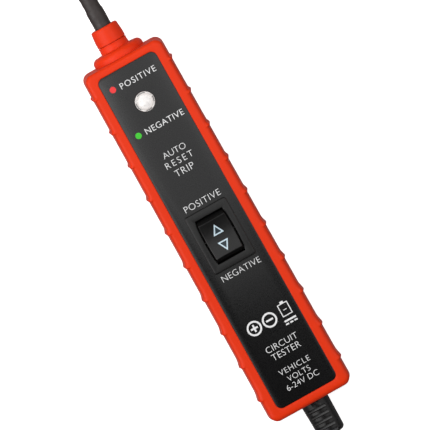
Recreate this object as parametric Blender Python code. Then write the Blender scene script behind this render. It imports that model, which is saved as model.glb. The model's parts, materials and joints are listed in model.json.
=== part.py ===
"""Circuit test light: a hand-held powered probe for vehicle wiring, built as separate pieces.

The frame: +Y runs along the tool towards the probe's point, +Z leaves the labelled front face,
and the origin is the middle of the rear case's flat back. Lengths are in metres.
"""

import math

import bmesh
import bpy
from mathutils import Matrix, Vector

MM = 0.001

# Fits
GAP = 0.3 * MM  # between two pieces that rest on each other or pass through each other
RUNNING = 0.1 * MM  # radial play of a stub or a plug that turns or slides in its bore

# Housing
HOUSING_LENGTH = 128.3 * MM
HOUSING_WIDTH = 29.5 * MM
HOUSING_DEPTH = 24.0 * MM
CORNER_RADIUS = 2.8 * MM
EDGE_RADIUS = 1.5 * MM
SIDE_WALL = 2.0 * MM
REAR_WALL = 2.0 * MM
FLARE = 1.0 * MM  # how much wider the cable end is than the probe end
DRAFT = 0.5 * MM  # how far each shell's sides lean in between the parting line and its face
FRONT_WALL = 2.4 * MM
TONGUE_THICKNESS = 0.8 * MM
TONGUE_HEIGHT = 1.2 * MM

# Grip beads along both sides, numbered from the probe end
BEAD_COUNT = 10
BEAD_HEIGHT = 0.5 * MM
BEAD_TOP = 0.3 * MM
BEAD_RETURN = 0.5 * MM
BEAD_RAMP_FIRST = 0.6 * MM
BEAD_RAMP_LAST = 3.3 * MM
FIRST_BEAD_MARGIN = 7.9 * MM
LAST_BEAD_MARGIN = 8.8 * MM

# Label panel
LABEL_MARGIN_SIDE = 3.95 * MM
LABEL_MARGIN_PROBE = 3.2 * MM
LABEL_MARGIN_CABLE = 3.8 * MM
LABEL_CORNER = 2.1 * MM
LABEL_THICKNESS = 0.4 * MM
LABEL_SUNK = 0.3 * MM

# Case screws and their bosses
CASE_BOSS_RADIUS = 3.6 * MM
CASE_BOSS_X = 8.4 * MM
CASE_BOSS_MARGIN = 8.5 * MM
CASE_SCREW_RADIUS = 1.2 * MM
CASE_SCREW_LENGTH = 16.0 * MM
CASE_HEAD_RADIUS = 2.4 * MM
CASE_HEAD_HEIGHT = 1.7 * MM
CASE_HEAD_SUNK = 0.6 * MM

# Indicator: lens, lamp, spacer and board
LENS_STATION = 16.4 * MM
LENS_RADIUS = 3.45 * MM
LENS_RISE = 2.2 * MM
LENS_FLANGE = 1.2 * MM
LENS_WALL = 0.6 * MM
LED_RADIUS = 2.5 * MM
LED_RIM_RADIUS = 2.9 * MM
LED_RIM_HEIGHT = 1.0 * MM
LED_HEIGHT = 8.6 * MM
LED_LEG = 0.5 * MM
LED_LEG_PITCH = 1.27 * MM
LED_LEG_BELOW_BOARD = 1.5 * MM
HOLDER_HEIGHT = 3.5 * MM
BOARD_STATION = 12.7 * MM
BOARD_LENGTH = 37.0 * MM
BOARD_THICKNESS = 1.6 * MM
BOARD_SIDE_SPACE = 2.1 * MM
BOARD_SCREW_STATION = 45.0 * MM
BOARD_SCREW_X = 6.5 * MM
BOARD_SCREW_RADIUS = 0.9 * MM
BOARD_SCREW_LENGTH = 5.0 * MM
BOARD_HEAD_RADIUS = 1.9 * MM
BOARD_HEAD_HEIGHT = 1.2 * MM
BOARD_BOSS_RADIUS = 2.4 * MM
RESISTOR_STATIONS = (26.0 * MM, 30.5 * MM, 35.0 * MM)
RESISTOR_X = -3.0 * MM
RESISTOR_RADIUS = 1.15 * MM
RESISTOR_LENGTH = 6.2 * MM
RESISTOR_SPAN = 9.0 * MM
COMPONENT_LEAD = 0.3 * MM
COMPONENT_DROP = 1.8 * MM
TRANSISTOR_STATION = 27.0 * MM
TRANSISTOR_X = 6.0 * MM
TRANSISTOR_RADIUS = 2.3 * MM
TRANSISTOR_HEIGHT = 4.5 * MM

# Rocker switch
SWITCH_STATION = 65.95 * MM
FLANGE_WIDTH = 15.07 * MM
FLANGE_LENGTH = 20.9 * MM
FLANGE_THICKNESS = 1.2 * MM
SWITCH_BODY_WIDTH = 12.9 * MM
SWITCH_BODY_LENGTH = 18.9 * MM
SWITCH_BODY_DEPTH = 12.0 * MM
SWITCH_END_WALL = 1.65 * MM
OPENING_MIDDLE = SWITCH_BODY_WIDTH - 2.2 * MM
OPENING_BOW = 1.1 * MM
ROCKER_SIDE_GAP = 0.42 * MM
ROCKER_BOW = 0.65 * MM
ROCKER_PIVOT_DEPTH = 2.5 * MM
ROCKER_CREASE = 6.15 * MM
ROCKER_VALLEY = 0.9 * MM
ROCKER_SKIRT = 2.0 * MM
PIVOT_STUB_RADIUS = 1.0 * MM
PIVOT_STUB_REACH = 0.5 * MM
PLUNGER_RADIUS = 1.0 * MM
PLUNGER_TUBE_WALL = 0.9 * MM
PLUNGER_TUBE_END = 4.5 * MM
PLUNGER_TIP = 6.3 * MM
PLUNGER_TOP = 1.6 * MM
SPRING_ROOM = 3.6 * MM
SPRING_WIRE = 0.3 * MM
SPRING_TURNS = 4
ARM_HALF_LENGTH = 6.0 * MM
ARM_WIDTH = 4.0 * MM
ARM_THICKNESS = 0.6 * MM
ARM_PIVOT_BELOW = 0.2 * MM
ARM_TRAVEL = 0.8 * MM
CONTACT_OFFSET = 5.2 * MM
CONTACT_SIZE = 1.6 * MM
CONTACT_HEIGHT = 0.5 * MM
BLADE_THICKNESS = 0.8 * MM
BLADE_WIDTH = 4.75 * MM
BLADE_BELOW_BODY = 5.5 * MM
SWITCH_BASE_THICKNESS = 1.2 * MM

# Self-resetting breaker
BREAKER_AFTER_SWITCH = 4.0 * MM
BREAKER_LENGTH = 18.0 * MM
BREAKER_WIDTH = 14.0 * MM
BREAKER_STAND = 4.0 * MM
BREAKER_BASE_THICKNESS = 2.5 * MM
COVER_HEIGHT = 6.0 * MM
COVER_WALL = 0.8 * MM
COVER_INSET = 0.3 * MM
BREAKER_TAB_THICKNESS = 0.8 * MM
BREAKER_TAB_WIDTH = 5.0 * MM
BREAKER_TAB_INSET = 3.0 * MM
BREAKER_TAB_BELOW = 1.6 * MM
BREAKER_TAB_ABOVE = 1.6 * MM
BIMETAL_THICKNESS = 0.4 * MM
BIMETAL_WIDTH = 4.0 * MM
BIMETAL_OVERHANG = 0.8 * MM

# Nozzle, in heights above the housing's probe-end face
NOZZLE_FLANGE_RADIUS = 8.82 * MM
NOZZLE_FLANGE_TOP = 2.55 * MM
NOZZLE_FLANGE_EDGE = 1.6 * MM
NOZZLE_NECK_RADIUS = 4.85 * MM
NOZZLE_NECK_TOP = 4.8 * MM
NOZZLE_SHANK_RADIUS = 4.3 * MM
NOZZLE_LOCK_RADIUS = 6.5 * MM
LOCK_THICKNESS = 1.8 * MM
SPIGOT_RADIUS = 3.9 * MM
SPIGOT_TOP = 8.3 * MM
CAP_TOP = 10.85 * MM
CAP_RADIUS = 4.92 * MM
CAP_TIP_RADIUS = 4.6 * MM
CAP_EDGE = 0.7 * MM
GRIP_RING_THICKNESS = 1.1 * MM

# Probe, in heights above the same face
SLEEVE_RADIUS = 2.88 * MM
SLEEVE_STEP = 16.9 * MM
SLEEVE_OUTER_RADIUS = 2.68 * MM
SLEEVE_START = 0.9 * MM
SLEEVE_END = 75.0 * MM
ROD_RADIUS = 1.9 * MM
ROD_SHOULDER = 90.0 * MM
ROD_POINT = 97.0 * MM
PLUG_TOP = 4.0 * MM
SOCKET_RADIUS = 2.8 * MM
SOCKET_TOP = 0.5 * MM
SOCKET_BOTTOM = -9.0 * MM
SOCKET_LUG = 5.0 * MM

# Strain relief, in lengths out of the housing's cable-end face
BOOT_LENGTH = 12.35 * MM
BOOT_RADIUS = 4.7 * MM
BOOT_END_RADIUS = 4.5 * MM
BOOT_EDGE = 1.3 * MM
BOOT_BORE_RADIUS = 3.1 * MM
BOOT_NECK_RADIUS = 3.9 * MM
BOOT_LOCK_RADIUS = 5.4 * MM
BOOT_COLLAR = 1.8 * MM
BOOT_SLOTS = 4
BOOT_SLOT_PITCH = 2.15 * MM
BOOT_SLOT_WIDTH = 1.0 * MM
BOOT_SLOT_DEPTH = 0.9 * MM
BOOT_RAIL = 1.8 * MM

# Cable clamp inside the rear case
CLAMP_FROM_END = 17.5 * MM
CLAMP_SCREW_X = 7.5 * MM
CLAMP_BOSS_RADIUS = 2.4 * MM
CLAMP_BAR_WIDTH = 6.0 * MM
CLAMP_BAR_THICKNESS = 2.0 * MM
CLAMP_SCREW_RADIUS = 1.0 * MM
CLAMP_SCREW_LENGTH = 8.0 * MM
CLAMP_HEAD_RADIUS = 1.9 * MM
CLAMP_HEAD_HEIGHT = 1.3 * MM

# Hook-up leads
LEAD_RADIUS = 0.9 * MM
THIN_LEAD_RADIUS = 0.55 * MM

# Places that follow from the sizes above
PROBE_END = HOUSING_LENGTH / 2
CABLE_END = -HOUSING_LENGTH / 2
PARTING = HOUSING_DEPTH / 2
AXIS_Z = HOUSING_DEPTH / 2
FRONT_INNER = HOUSING_DEPTH - FRONT_WALL
LABEL_TOP = HOUSING_DEPTH - LABEL_SUNK
RECESS_FLOOR = LABEL_TOP - LABEL_THICKNESS - GAP
LENS_Y = PROBE_END - LENS_STATION
LENS_FLANGE_BOTTOM = FRONT_INNER - GAP - LENS_FLANGE
BOARD_TOP = LENS_FLANGE_BOTTOM - GAP - HOLDER_HEIGHT - GAP
BOARD_BOTTOM = BOARD_TOP - BOARD_THICKNESS
BOARD_WIDTH = HOUSING_WIDTH - 2 * (SIDE_WALL + BOARD_SIDE_SPACE)
SWITCH_Y = PROBE_END - SWITCH_STATION
FLANGE_TOP = HOUSING_DEPTH + FLANGE_THICKNESS
SWITCH_BOTTOM = HOUSING_DEPTH - SWITCH_BODY_DEPTH
OPENING_LENGTH = SWITCH_BODY_LENGTH - 2 * SWITCH_END_WALL
ROCKER_MIDDLE = OPENING_MIDDLE - 2 * ROCKER_SIDE_GAP
ROCKER_RADIUS = OPENING_LENGTH / 2 - GAP
ROCKER_PIVOT = Vector((0, SWITCH_Y, FLANGE_TOP - ROCKER_PIVOT_DEPTH))
PLUNGER_BORE = PLUNGER_RADIUS + GAP
ARM_TOP = ROCKER_PIVOT.z - PLUNGER_TIP - GAP
ARM_BOTTOM = ARM_TOP - ARM_THICKNESS
ARM_PIVOT = Vector((0, SWITCH_Y, ARM_BOTTOM - ARM_PIVOT_BELOW))
FIXED_CONTACT_TOP = ARM_BOTTOM - CONTACT_HEIGHT - ARM_TRAVEL - GAP
BREAKER_Y = SWITCH_Y - SWITCH_BODY_LENGTH / 2 - BREAKER_AFTER_SWITCH - BREAKER_LENGTH / 2
BREAKER_BASE_BOTTOM = REAR_WALL + BREAKER_STAND
BREAKER_BASE_TOP = BREAKER_BASE_BOTTOM + BREAKER_BASE_THICKNESS
COVER_BOTTOM = BREAKER_BASE_TOP + GAP
COVER_TOP = COVER_BOTTOM + COVER_HEIGHT
TAB_OFFSET = BREAKER_LENGTH / 2 - BREAKER_TAB_INSET
TAB_TOP = BREAKER_BASE_TOP + BREAKER_TAB_ABOVE
BIMETAL_PIVOT = Vector((0, BREAKER_Y - TAB_OFFSET, TAB_TOP + GAP + BIMETAL_THICKNESS / 2))
CLAMP_Y = CABLE_END + CLAMP_FROM_END
CLAMP_BOSS_TOP = AXIS_Z + BOOT_BORE_RADIUS
CLAMP_BAR_BOTTOM = CLAMP_BOSS_TOP + GAP


def clear_scene():
    for thing in list(bpy.data.objects):
        bpy.data.objects.remove(thing, do_unlink=True)


def finish(name, colour, roughness, metallic=0.0, alpha=1.0):
    made = bpy.data.materials.new(name)
    made.use_nodes = True
    shader = made.node_tree.nodes["Principled BSDF"]
    shader.inputs["Base Color"].default_value = (*colour, 1.0)
    shader.inputs["Roughness"].default_value = roughness
    shader.inputs["Metallic"].default_value = metallic
    shader.inputs["Alpha"].default_value = alpha
    made.diffuse_color = (*colour, alpha)
    return made


def add_piece(name, shape, made_of, at=(0, 0, 0), turned_by=(0, 0, 0)):
    """An object of this mesh, with its origin at a place in the tool's frame."""
    mesh = bpy.data.meshes.new(name)
    shape.to_mesh(mesh)
    shape.free()
    mesh.shade_smooth()
    mesh.set_sharp_from_angle(angle=math.radians(35))
    if made_of:
        mesh.materials.append(made_of)
    piece = bpy.data.objects.new(name, mesh)
    bpy.context.scene.collection.objects.link(piece)
    piece.location = at
    piece.rotation_euler = turned_by
    return piece


def add_tool(name, shape, at=(0, 0, 0)):
    """A shape that only cuts or joins another one."""
    tool = add_piece(name, shape, None, at)
    tool.hide_render = True
    tool.display_type = "WIRE"
    return tool


def combine(piece, operation, name, shape, at=(0, 0, 0)):
    modifier = piece.modifiers.new(name, "BOOLEAN")
    modifier.operation = operation
    modifier.object = add_tool(name, shape, at)


def block(low, high, into=None):
    shape = into or bmesh.new()
    made = bmesh.ops.create_cube(shape, size=1.0)["verts"]
    low, high = Vector(low), Vector(high)
    bmesh.ops.scale(shape, vec=high - low, verts=made)
    bmesh.ops.translate(shape, vec=(low + high) / 2, verts=made)
    return shape


def rod(radius, start, end, into=None, sides=24):
    shape = into or bmesh.new()
    start, end = Vector(start), Vector(end)
    along = end - start
    made = bmesh.ops.create_cone(
        shape, cap_ends=True, segments=sides, radius1=radius, radius2=radius, depth=along.length
    )["verts"]
    turn = along.to_track_quat("Z", "Y").to_matrix()
    bmesh.ops.rotate(shape, cent=(0, 0, 0), matrix=turn, verts=made)
    bmesh.ops.translate(shape, vec=(start + end) / 2, verts=made)
    return shape


def turned(profile, sides=32, along="Z"):
    """Turns (radius, height) points about an axis. A profile off the axis is closed into a ring."""
    shape = bmesh.new()
    points = [shape.verts.new((radius, 0, height)) for radius, height in profile]
    edges = [shape.edges.new(pair) for pair in zip(points, points[1:])]
    if profile[0][0] > 0:
        edges.append(shape.edges.new((points[-1], points[0])))
    bmesh.ops.spin(
        shape,
        geom=points + edges,
        cent=(0, 0, 0),
        axis=(0, 0, 1),
        angle=math.tau,
        steps=sides,
        use_merge=True,
    )
    bmesh.ops.remove_doubles(shape, verts=shape.verts, dist=1e-7)
    turns = {"Z": Matrix(), "Y": Matrix.Rotation(math.radians(-90), 3, "X")}
    turns["X"] = Matrix.Rotation(math.radians(90), 3, "Y")
    bmesh.ops.rotate(shape, cent=(0, 0, 0), matrix=turns[along].to_3x3(), verts=shape.verts)
    bmesh.ops.recalc_face_normals(shape, faces=shape.faces)
    return shape


def loft(rings, into=None):
    """Joins rings of points, each anticlockwise as seen from the last ring's side."""
    shape = into or bmesh.new()
    rows = [[shape.verts.new(point) for point in ring] for ring in rings]
    shape.faces.new(reversed(rows[0]))
    shape.faces.new(rows[-1])
    for lower, upper in zip(rows, rows[1:]):
        for here in range(len(lower)):
            after = (here + 1) % len(lower)
            shape.faces.new((lower[here], lower[after], upper[after], upper[here]))
    return shape


def prism(outline, low, high):
    """A plan outline of (x, y) points, anticlockwise from above, between two heights."""
    return loft([[(x, y, z) for x, y in outline] for z in (low, high)])


def side_prism(outline, width, offset=0):
    """A side outline of (y, z) points, anticlockwise as seen from +X, with this width along X."""
    return loft([[(x, y, z) for y, z in outline] for x in (offset - width / 2, offset + width / 2)])


def rounded_outline(width, length, corner, steps=4):
    points = []
    for number, (side, end) in enumerate(((1, -1), (1, 1), (-1, 1), (-1, -1))):
        for step in range(steps + 1):
            turn = math.radians(90 * (number - 1 + step / steps))
            x = side * (width / 2 - corner) + corner * math.cos(turn)
            y = end * (length / 2 - corner) + corner * math.sin(turn)
            points.append((x, y))
    return points


def bowed_outline(middle, bow, length, steps=8):
    """A rectangle whose long sides swell by half of bow at the middle of its length."""
    right = []
    for step in range(steps + 1):
        share = 2 * step / steps - 1
        right.append(((middle - bow * share**2) / 2, share * length / 2))
    return right + [(-x, -y) for x, y in right]


def flared(outline):
    """A plan outline, widened towards the cable end as the whole housing is."""
    return [(x * (1 - FLARE / HOUSING_WIDTH * y / HOUSING_LENGTH), y) for x, y in outline]


def label_outline(play):
    """The label recess's outline, drawn in all round by this play."""
    outline = rounded_outline(
        HOUSING_WIDTH - 2 * LABEL_MARGIN_SIDE - 2 * play,
        HOUSING_LENGTH - LABEL_MARGIN_PROBE - LABEL_MARGIN_CABLE - 2 * play,
        LABEL_CORNER - play,
    )
    middle = (LABEL_MARGIN_CABLE - LABEL_MARGIN_PROBE) / 2
    return flared([(x, y + middle) for x, y in outline])


def bead_points():
    """(y, share of the bead's height) up one side of the housing, from the cable end."""
    first = PROBE_END - FIRST_BEAD_MARGIN
    last = CABLE_END + LAST_BEAD_MARGIN
    points = []
    for number in range(BEAD_COUNT):
        share = number / (BEAD_COUNT - 1)
        peak = first + share * (last - first)
        ramp = BEAD_RAMP_FIRST + share * (BEAD_RAMP_LAST - BEAD_RAMP_FIRST)
        points.append((peak + ramp, 0))
        points.append((peak + BEAD_TOP / 2, 1))
        points.append((peak - BEAD_TOP / 2, 1))
        points.append((peak - BEAD_RETURN, 0))
    return sorted(points)


def housing_ring(z, inset, bead_share=0.0):
    """The housing's outline at one height, drawn in by inset, with its beads at a share of their height."""
    corners = rounded_outline(
        HOUSING_WIDTH - 2 * inset, HOUSING_LENGTH - 2 * inset, max(CORNER_RADIUS - inset, GAP)
    )
    per_corner = len(corners) // 4
    side = HOUSING_WIDTH / 2 - inset
    right = [(side + bead_share * BEAD_HEIGHT * share, y) for y, share in bead_points()]
    left = [(-x, y) for x, y in reversed(right)]
    outline = corners[:per_corner] + right + corners[per_corner : 3 * per_corner]
    outline += left + corners[3 * per_corner :]
    return [(x, y, z) for x, y in flared(outline)]


def cavity_ring(z, inset):
    outline = rounded_outline(
        HOUSING_WIDTH - 2 * inset, HOUSING_LENGTH - 2 * inset, max(CORNER_RADIUS - inset, GAP)
    )
    return [(x, y, z) for x, y in flared(outline)]


def edge_levels(steps=3):
    """(inset, drop below the outer face, bead share) round the housing's edge, from side to face."""
    levels = []
    for step in range(steps + 1):
        turn = math.radians(90 * step / steps)
        inset = DRAFT + EDGE_RADIUS * (1 - math.cos(turn))
        drop = EDGE_RADIUS * (1 - math.sin(turn))
        levels.append((inset, drop, 1 - step / steps))
    return levels


def case_screw_places():
    for y in (PROBE_END - CASE_BOSS_MARGIN, CABLE_END + CASE_BOSS_MARGIN):
        for x in (-CASE_BOSS_X, CASE_BOSS_X):
            yield x, y


def end_holes():
    """The round holes for the nozzle and the strain relief, one through each end wall."""
    reach = SIDE_WALL + 1 * MM
    shape = rod(
        NOZZLE_SHANK_RADIUS + GAP,
        (0, PROBE_END - reach, AXIS_Z),
        (0, PROBE_END + 1 * MM, AXIS_Z),
        sides=32,
    )
    return rod(
        BOOT_NECK_RADIUS + GAP,
        (0, CABLE_END - 1 * MM, AXIS_Z),
        (0, CABLE_END + reach, AXIS_Z),
        shape,
        sides=32,
    )


def make_front_case(red):
    start = PARTING + GAP / 2
    rings = [housing_ring(start, 0, 1)]
    rings += [housing_ring(HOUSING_DEPTH - drop, inset, share) for inset, drop, share in edge_levels()]
    case = add_piece("front_case", loft(rings), red)
    lip = SIDE_WALL - TONGUE_THICKNESS - GAP
    step = PARTING + TONGUE_HEIGHT + GAP
    levels = ((PARTING - 1 * MM, lip), (step, lip), (step, SIDE_WALL), (FRONT_INNER, SIDE_WALL))
    combine(case, "DIFFERENCE", "front_cavity", loft([cavity_ring(z, inset) for z, inset in levels]))
    ribs = bmesh.new()
    into_wall = FRONT_INNER + FRONT_WALL / 4
    for x, y in case_screw_places():
        rod(CASE_BOSS_RADIUS, (x, y, start), (x, y, into_wall), ribs)
    board_screw_y = PROBE_END - BOARD_SCREW_STATION
    for x in (-BOARD_SCREW_X, BOARD_SCREW_X):
        rod(BOARD_BOSS_RADIUS, (x, board_screw_y, BOARD_TOP + GAP), (x, board_screw_y, into_wall), ribs)
    block(
        (-BREAKER_WIDTH / 2, BREAKER_Y - 1 * MM, COVER_TOP + GAP),
        (BREAKER_WIDTH / 2, BREAKER_Y + 1 * MM, into_wall),
        ribs,
    )
    combine(case, "UNION", "front_ribs", ribs)
    recess = prism(label_outline(0), RECESS_FLOOR, HOUSING_DEPTH + 1 * MM)
    combine(case, "DIFFERENCE", "label_recess", recess)
    combine(case, "DIFFERENCE", "front_windows", window_shape(FRONT_INNER - 1 * MM, HOUSING_DEPTH))
    combine(case, "DIFFERENCE", "front_end_holes", end_holes())
    pilots = bmesh.new()
    pilot_top = CASE_HEAD_SUNK + CASE_HEAD_HEIGHT + CASE_SCREW_LENGTH + 2 * GAP
    for x, y in case_screw_places():
        rod(CASE_SCREW_RADIUS + GAP, (x, y, PARTING - 1 * MM), (x, y, pilot_top), pilots, 16)
    board_pilot = (BOARD_TOP - 1 * MM, BOARD_BOTTOM - GAP + BOARD_SCREW_LENGTH + GAP)
    for x in (-BOARD_SCREW_X, BOARD_SCREW_X):
        start, end = [(x, board_screw_y, z) for z in board_pilot]
        rod(BOARD_SCREW_RADIUS + GAP, start, end, pilots, 16)
    combine(case, "DIFFERENCE", "front_pilots", pilots)
    return case


def window_shape(low, high):
    """The lens hole and the switch cut-out, as both the front wall and the label have them."""
    shape = rod(LENS_RADIUS + GAP, (0, LENS_Y, low), (0, LENS_Y, high), sides=32)
    half_width = SWITCH_BODY_WIDTH / 2 + GAP
    half_length = SWITCH_BODY_LENGTH / 2 + GAP
    return block(
        (-half_width, SWITCH_Y - half_length, low), (half_width, SWITCH_Y + half_length, high), shape
    )


def make_rear_case(red):
    top = PARTING - GAP / 2
    rings = [housing_ring(drop, inset, share) for inset, drop, share in reversed(edge_levels())]
    rings.append(housing_ring(top, 0, 1))
    tongue = SIDE_WALL - TONGUE_THICKNESS
    rings += [housing_ring(top, tongue), housing_ring(top + TONGUE_HEIGHT, tongue)]
    case = add_piece("rear_case", loft(rings), red)
    levels = (REAR_WALL, top + TONGUE_HEIGHT + 1 * MM)
    combine(case, "DIFFERENCE", "rear_cavity", loft([cavity_ring(z, SIDE_WALL) for z in levels]))
    ribs = bmesh.new()
    into_wall = REAR_WALL * 0.75
    for x, y in case_screw_places():
        rod(CASE_BOSS_RADIUS, (x, y, into_wall), (x, y, top), ribs)
    for x in (-CLAMP_SCREW_X, CLAMP_SCREW_X):
        rod(CLAMP_BOSS_RADIUS, (x, CLAMP_Y, into_wall), (x, CLAMP_Y, CLAMP_BOSS_TOP), ribs)
    saddle = CLAMP_SCREW_X - CLAMP_BOSS_RADIUS - GAP
    block(
        (-saddle, CLAMP_Y - CLAMP_BAR_WIDTH / 4, into_wall),
        (saddle, CLAMP_Y + CLAMP_BAR_WIDTH / 4, AXIS_Z - BOOT_BORE_RADIUS - GAP),
        ribs,
    )
    for side in (-1, 1):
        y = BREAKER_Y + side * BREAKER_LENGTH / 5
        block(
            (-BREAKER_WIDTH / 2, y - 0.75 * MM, into_wall),
            (BREAKER_WIDTH / 2, y + 0.75 * MM, BREAKER_BASE_BOTTOM - GAP),
            ribs,
        )
    combine(case, "UNION", "rear_ribs", ribs)
    combine(case, "DIFFERENCE", "rear_end_holes", end_holes())
    holes = bmesh.new()
    for x, y in case_screw_places():
        rod(CASE_SCREW_RADIUS + GAP, (x, y, CASE_HEAD_SUNK), (x, y, PARTING + 1 * MM), holes, 16)
    clamp_pilot = CLAMP_BAR_BOTTOM + CLAMP_BAR_THICKNESS + GAP - CLAMP_SCREW_LENGTH - GAP
    for x in (-CLAMP_SCREW_X, CLAMP_SCREW_X):
        start, end = (x, CLAMP_Y, clamp_pilot), (x, CLAMP_Y, CLAMP_BOSS_TOP + 1 * MM)
        rod(CLAMP_SCREW_RADIUS + GAP, start, end, holes, 16)
    combine(case, "DIFFERENCE", "rear_screw_holes", holes)
    heads = bmesh.new()
    head_room = CASE_HEAD_SUNK + CASE_HEAD_HEIGHT + GAP
    for x, y in case_screw_places():
        rod(CASE_HEAD_RADIUS + GAP, (x, y, -1 * MM), (x, y, head_room), heads)
    combine(case, "DIFFERENCE", "rear_head_recesses", heads)
    return case


def make_face_label(black):
    label = add_piece("face_label", prism(label_outline(GAP), RECESS_FLOOR + GAP, LABEL_TOP), black)
    windows = window_shape(RECESS_FLOOR - 1 * MM, LABEL_TOP + 1 * MM)
    combine(label, "DIFFERENCE", "label_windows", windows)


def screw_shape(radius, length, head_radius, head_height):
    """A pan-head screw that points up, with the underside of its head at height 0."""
    return turned(
        (
            (0, -head_height),
            (head_radius * 0.8, -head_height),
            (head_radius, -head_height * 0.6),
            (head_radius, 0),
            (radius, 0),
            (radius, length - radius),
            (0, length),
        ),
        sides=16,
    )


def make_screws(steel):
    for number, (x, y) in enumerate(case_screw_places(), 1):
        shape = screw_shape(CASE_SCREW_RADIUS, CASE_SCREW_LENGTH, CASE_HEAD_RADIUS, CASE_HEAD_HEIGHT)
        add_piece(f"case_screw_{number}", shape, steel, (x, y, CASE_HEAD_SUNK + CASE_HEAD_HEIGHT))
    for number, side in enumerate((-1, 1), 1):
        shape = screw_shape(BOARD_SCREW_RADIUS, BOARD_SCREW_LENGTH, BOARD_HEAD_RADIUS, BOARD_HEAD_HEIGHT)
        place = (side * BOARD_SCREW_X, PROBE_END - BOARD_SCREW_STATION, BOARD_BOTTOM - GAP)
        add_piece(f"board_screw_{number}", shape, steel, place)
        shape = screw_shape(CLAMP_SCREW_RADIUS, CLAMP_SCREW_LENGTH, CLAMP_HEAD_RADIUS, CLAMP_HEAD_HEIGHT)
        place = (side * CLAMP_SCREW_X, CLAMP_Y, CLAMP_BAR_BOTTOM + CLAMP_BAR_THICKNESS + GAP)
        add_piece(f"clamp_screw_{number}", shape, steel, place, (math.pi, 0, 0))


def make_indicator(clear, led_clear, black, green, steps=5):
    barrel_top = HOUSING_DEPTH + GAP
    dome_height = LENS_RISE - GAP
    hollow = LENS_RADIUS - LENS_WALL
    hollow_top = HOUSING_DEPTH - GAP
    led_base = BOARD_TOP + GAP
    led_top = led_base + LED_HEIGHT
    inner_rise = led_top + GAP - hollow_top
    outer = [(LENS_RADIUS + 1 * MM, LENS_FLANGE_BOTTOM), (LENS_RADIUS + 1 * MM, FRONT_INNER - GAP)]
    outer.append((LENS_RADIUS, FRONT_INNER - GAP))
    inner = []
    for step in range(steps + 1):
        turn = math.radians(90 * step / steps)
        share = math.cos(turn) if step < steps else 0
        outer.append((LENS_RADIUS * share, barrel_top + dome_height * math.sin(turn)))
        inner.append((hollow * share, hollow_top + inner_rise * math.sin(turn)))
    profile = inner[::-1] + [(hollow, LENS_FLANGE_BOTTOM)] + outer
    add_piece("led_lens", turned(profile, 24), clear, (0, LENS_Y, 0))

    body_top = led_top - LED_RADIUS
    led = [(0, led_base), (LED_RIM_RADIUS, led_base), (LED_RIM_RADIUS, led_base + LED_RIM_HEIGHT)]
    led.append((LED_RADIUS, led_base + LED_RIM_HEIGHT))
    for step in range(steps + 1):
        turn = math.radians(90 * step / steps)
        share = math.cos(turn) if step < steps else 0
        led.append((LED_RADIUS * share, body_top + LED_RADIUS * math.sin(turn)))
    lamp = add_piece("indicator_led", turned(led, 16), led_clear, (0, LENS_Y, 0))
    legs = bmesh.new()
    leg_bottom = BOARD_BOTTOM - LED_LEG_BELOW_BOARD
    for number in (-1, 0, 1):
        x = number * LED_LEG_PITCH
        block(
            (x - LED_LEG / 2, -LED_LEG / 2, leg_bottom),
            (x + LED_LEG / 2, LED_LEG / 2, led_base + LED_LEG),
            legs,
        )
    combine(lamp, "UNION", "led_legs", legs, (0, LENS_Y, 0))

    inside = LED_RIM_RADIUS + GAP
    outside = LENS_RADIUS + 1 * MM
    low, high = led_base, led_base + HOLDER_HEIGHT
    ring = ((inside, low), (outside, low), (outside, high), (inside, high))
    add_piece("led_holder", turned(ring, 24), black, (0, LENS_Y, 0))

    middle = PROBE_END - BOARD_STATION - BOARD_LENGTH / 2
    outline = rounded_outline(BOARD_WIDTH, BOARD_LENGTH, 1 * MM, 2)
    board = add_piece("circuit_board", prism(outline, BOARD_BOTTOM, BOARD_TOP), green, (0, middle, 0))
    holes = bmesh.new()
    leg_slot = LED_LEG_PITCH + LED_LEG / 2 + GAP
    slot_low = (-leg_slot, LENS_Y - LED_LEG / 2 - GAP, BOARD_BOTTOM - 1 * MM)
    slot_high = (leg_slot, LENS_Y + LED_LEG / 2 + GAP, BOARD_TOP + 1 * MM)
    block(slot_low, slot_high, holes)
    screw_y = PROBE_END - BOARD_SCREW_STATION
    for x in (-BOARD_SCREW_X, BOARD_SCREW_X):
        start, end = (x, screw_y, slot_low[2]), (x, screw_y, slot_high[2])
        rod(BOARD_SCREW_RADIUS + GAP, start, end, holes, 16)
    combine(board, "DIFFERENCE", "board_holes", holes)


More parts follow.
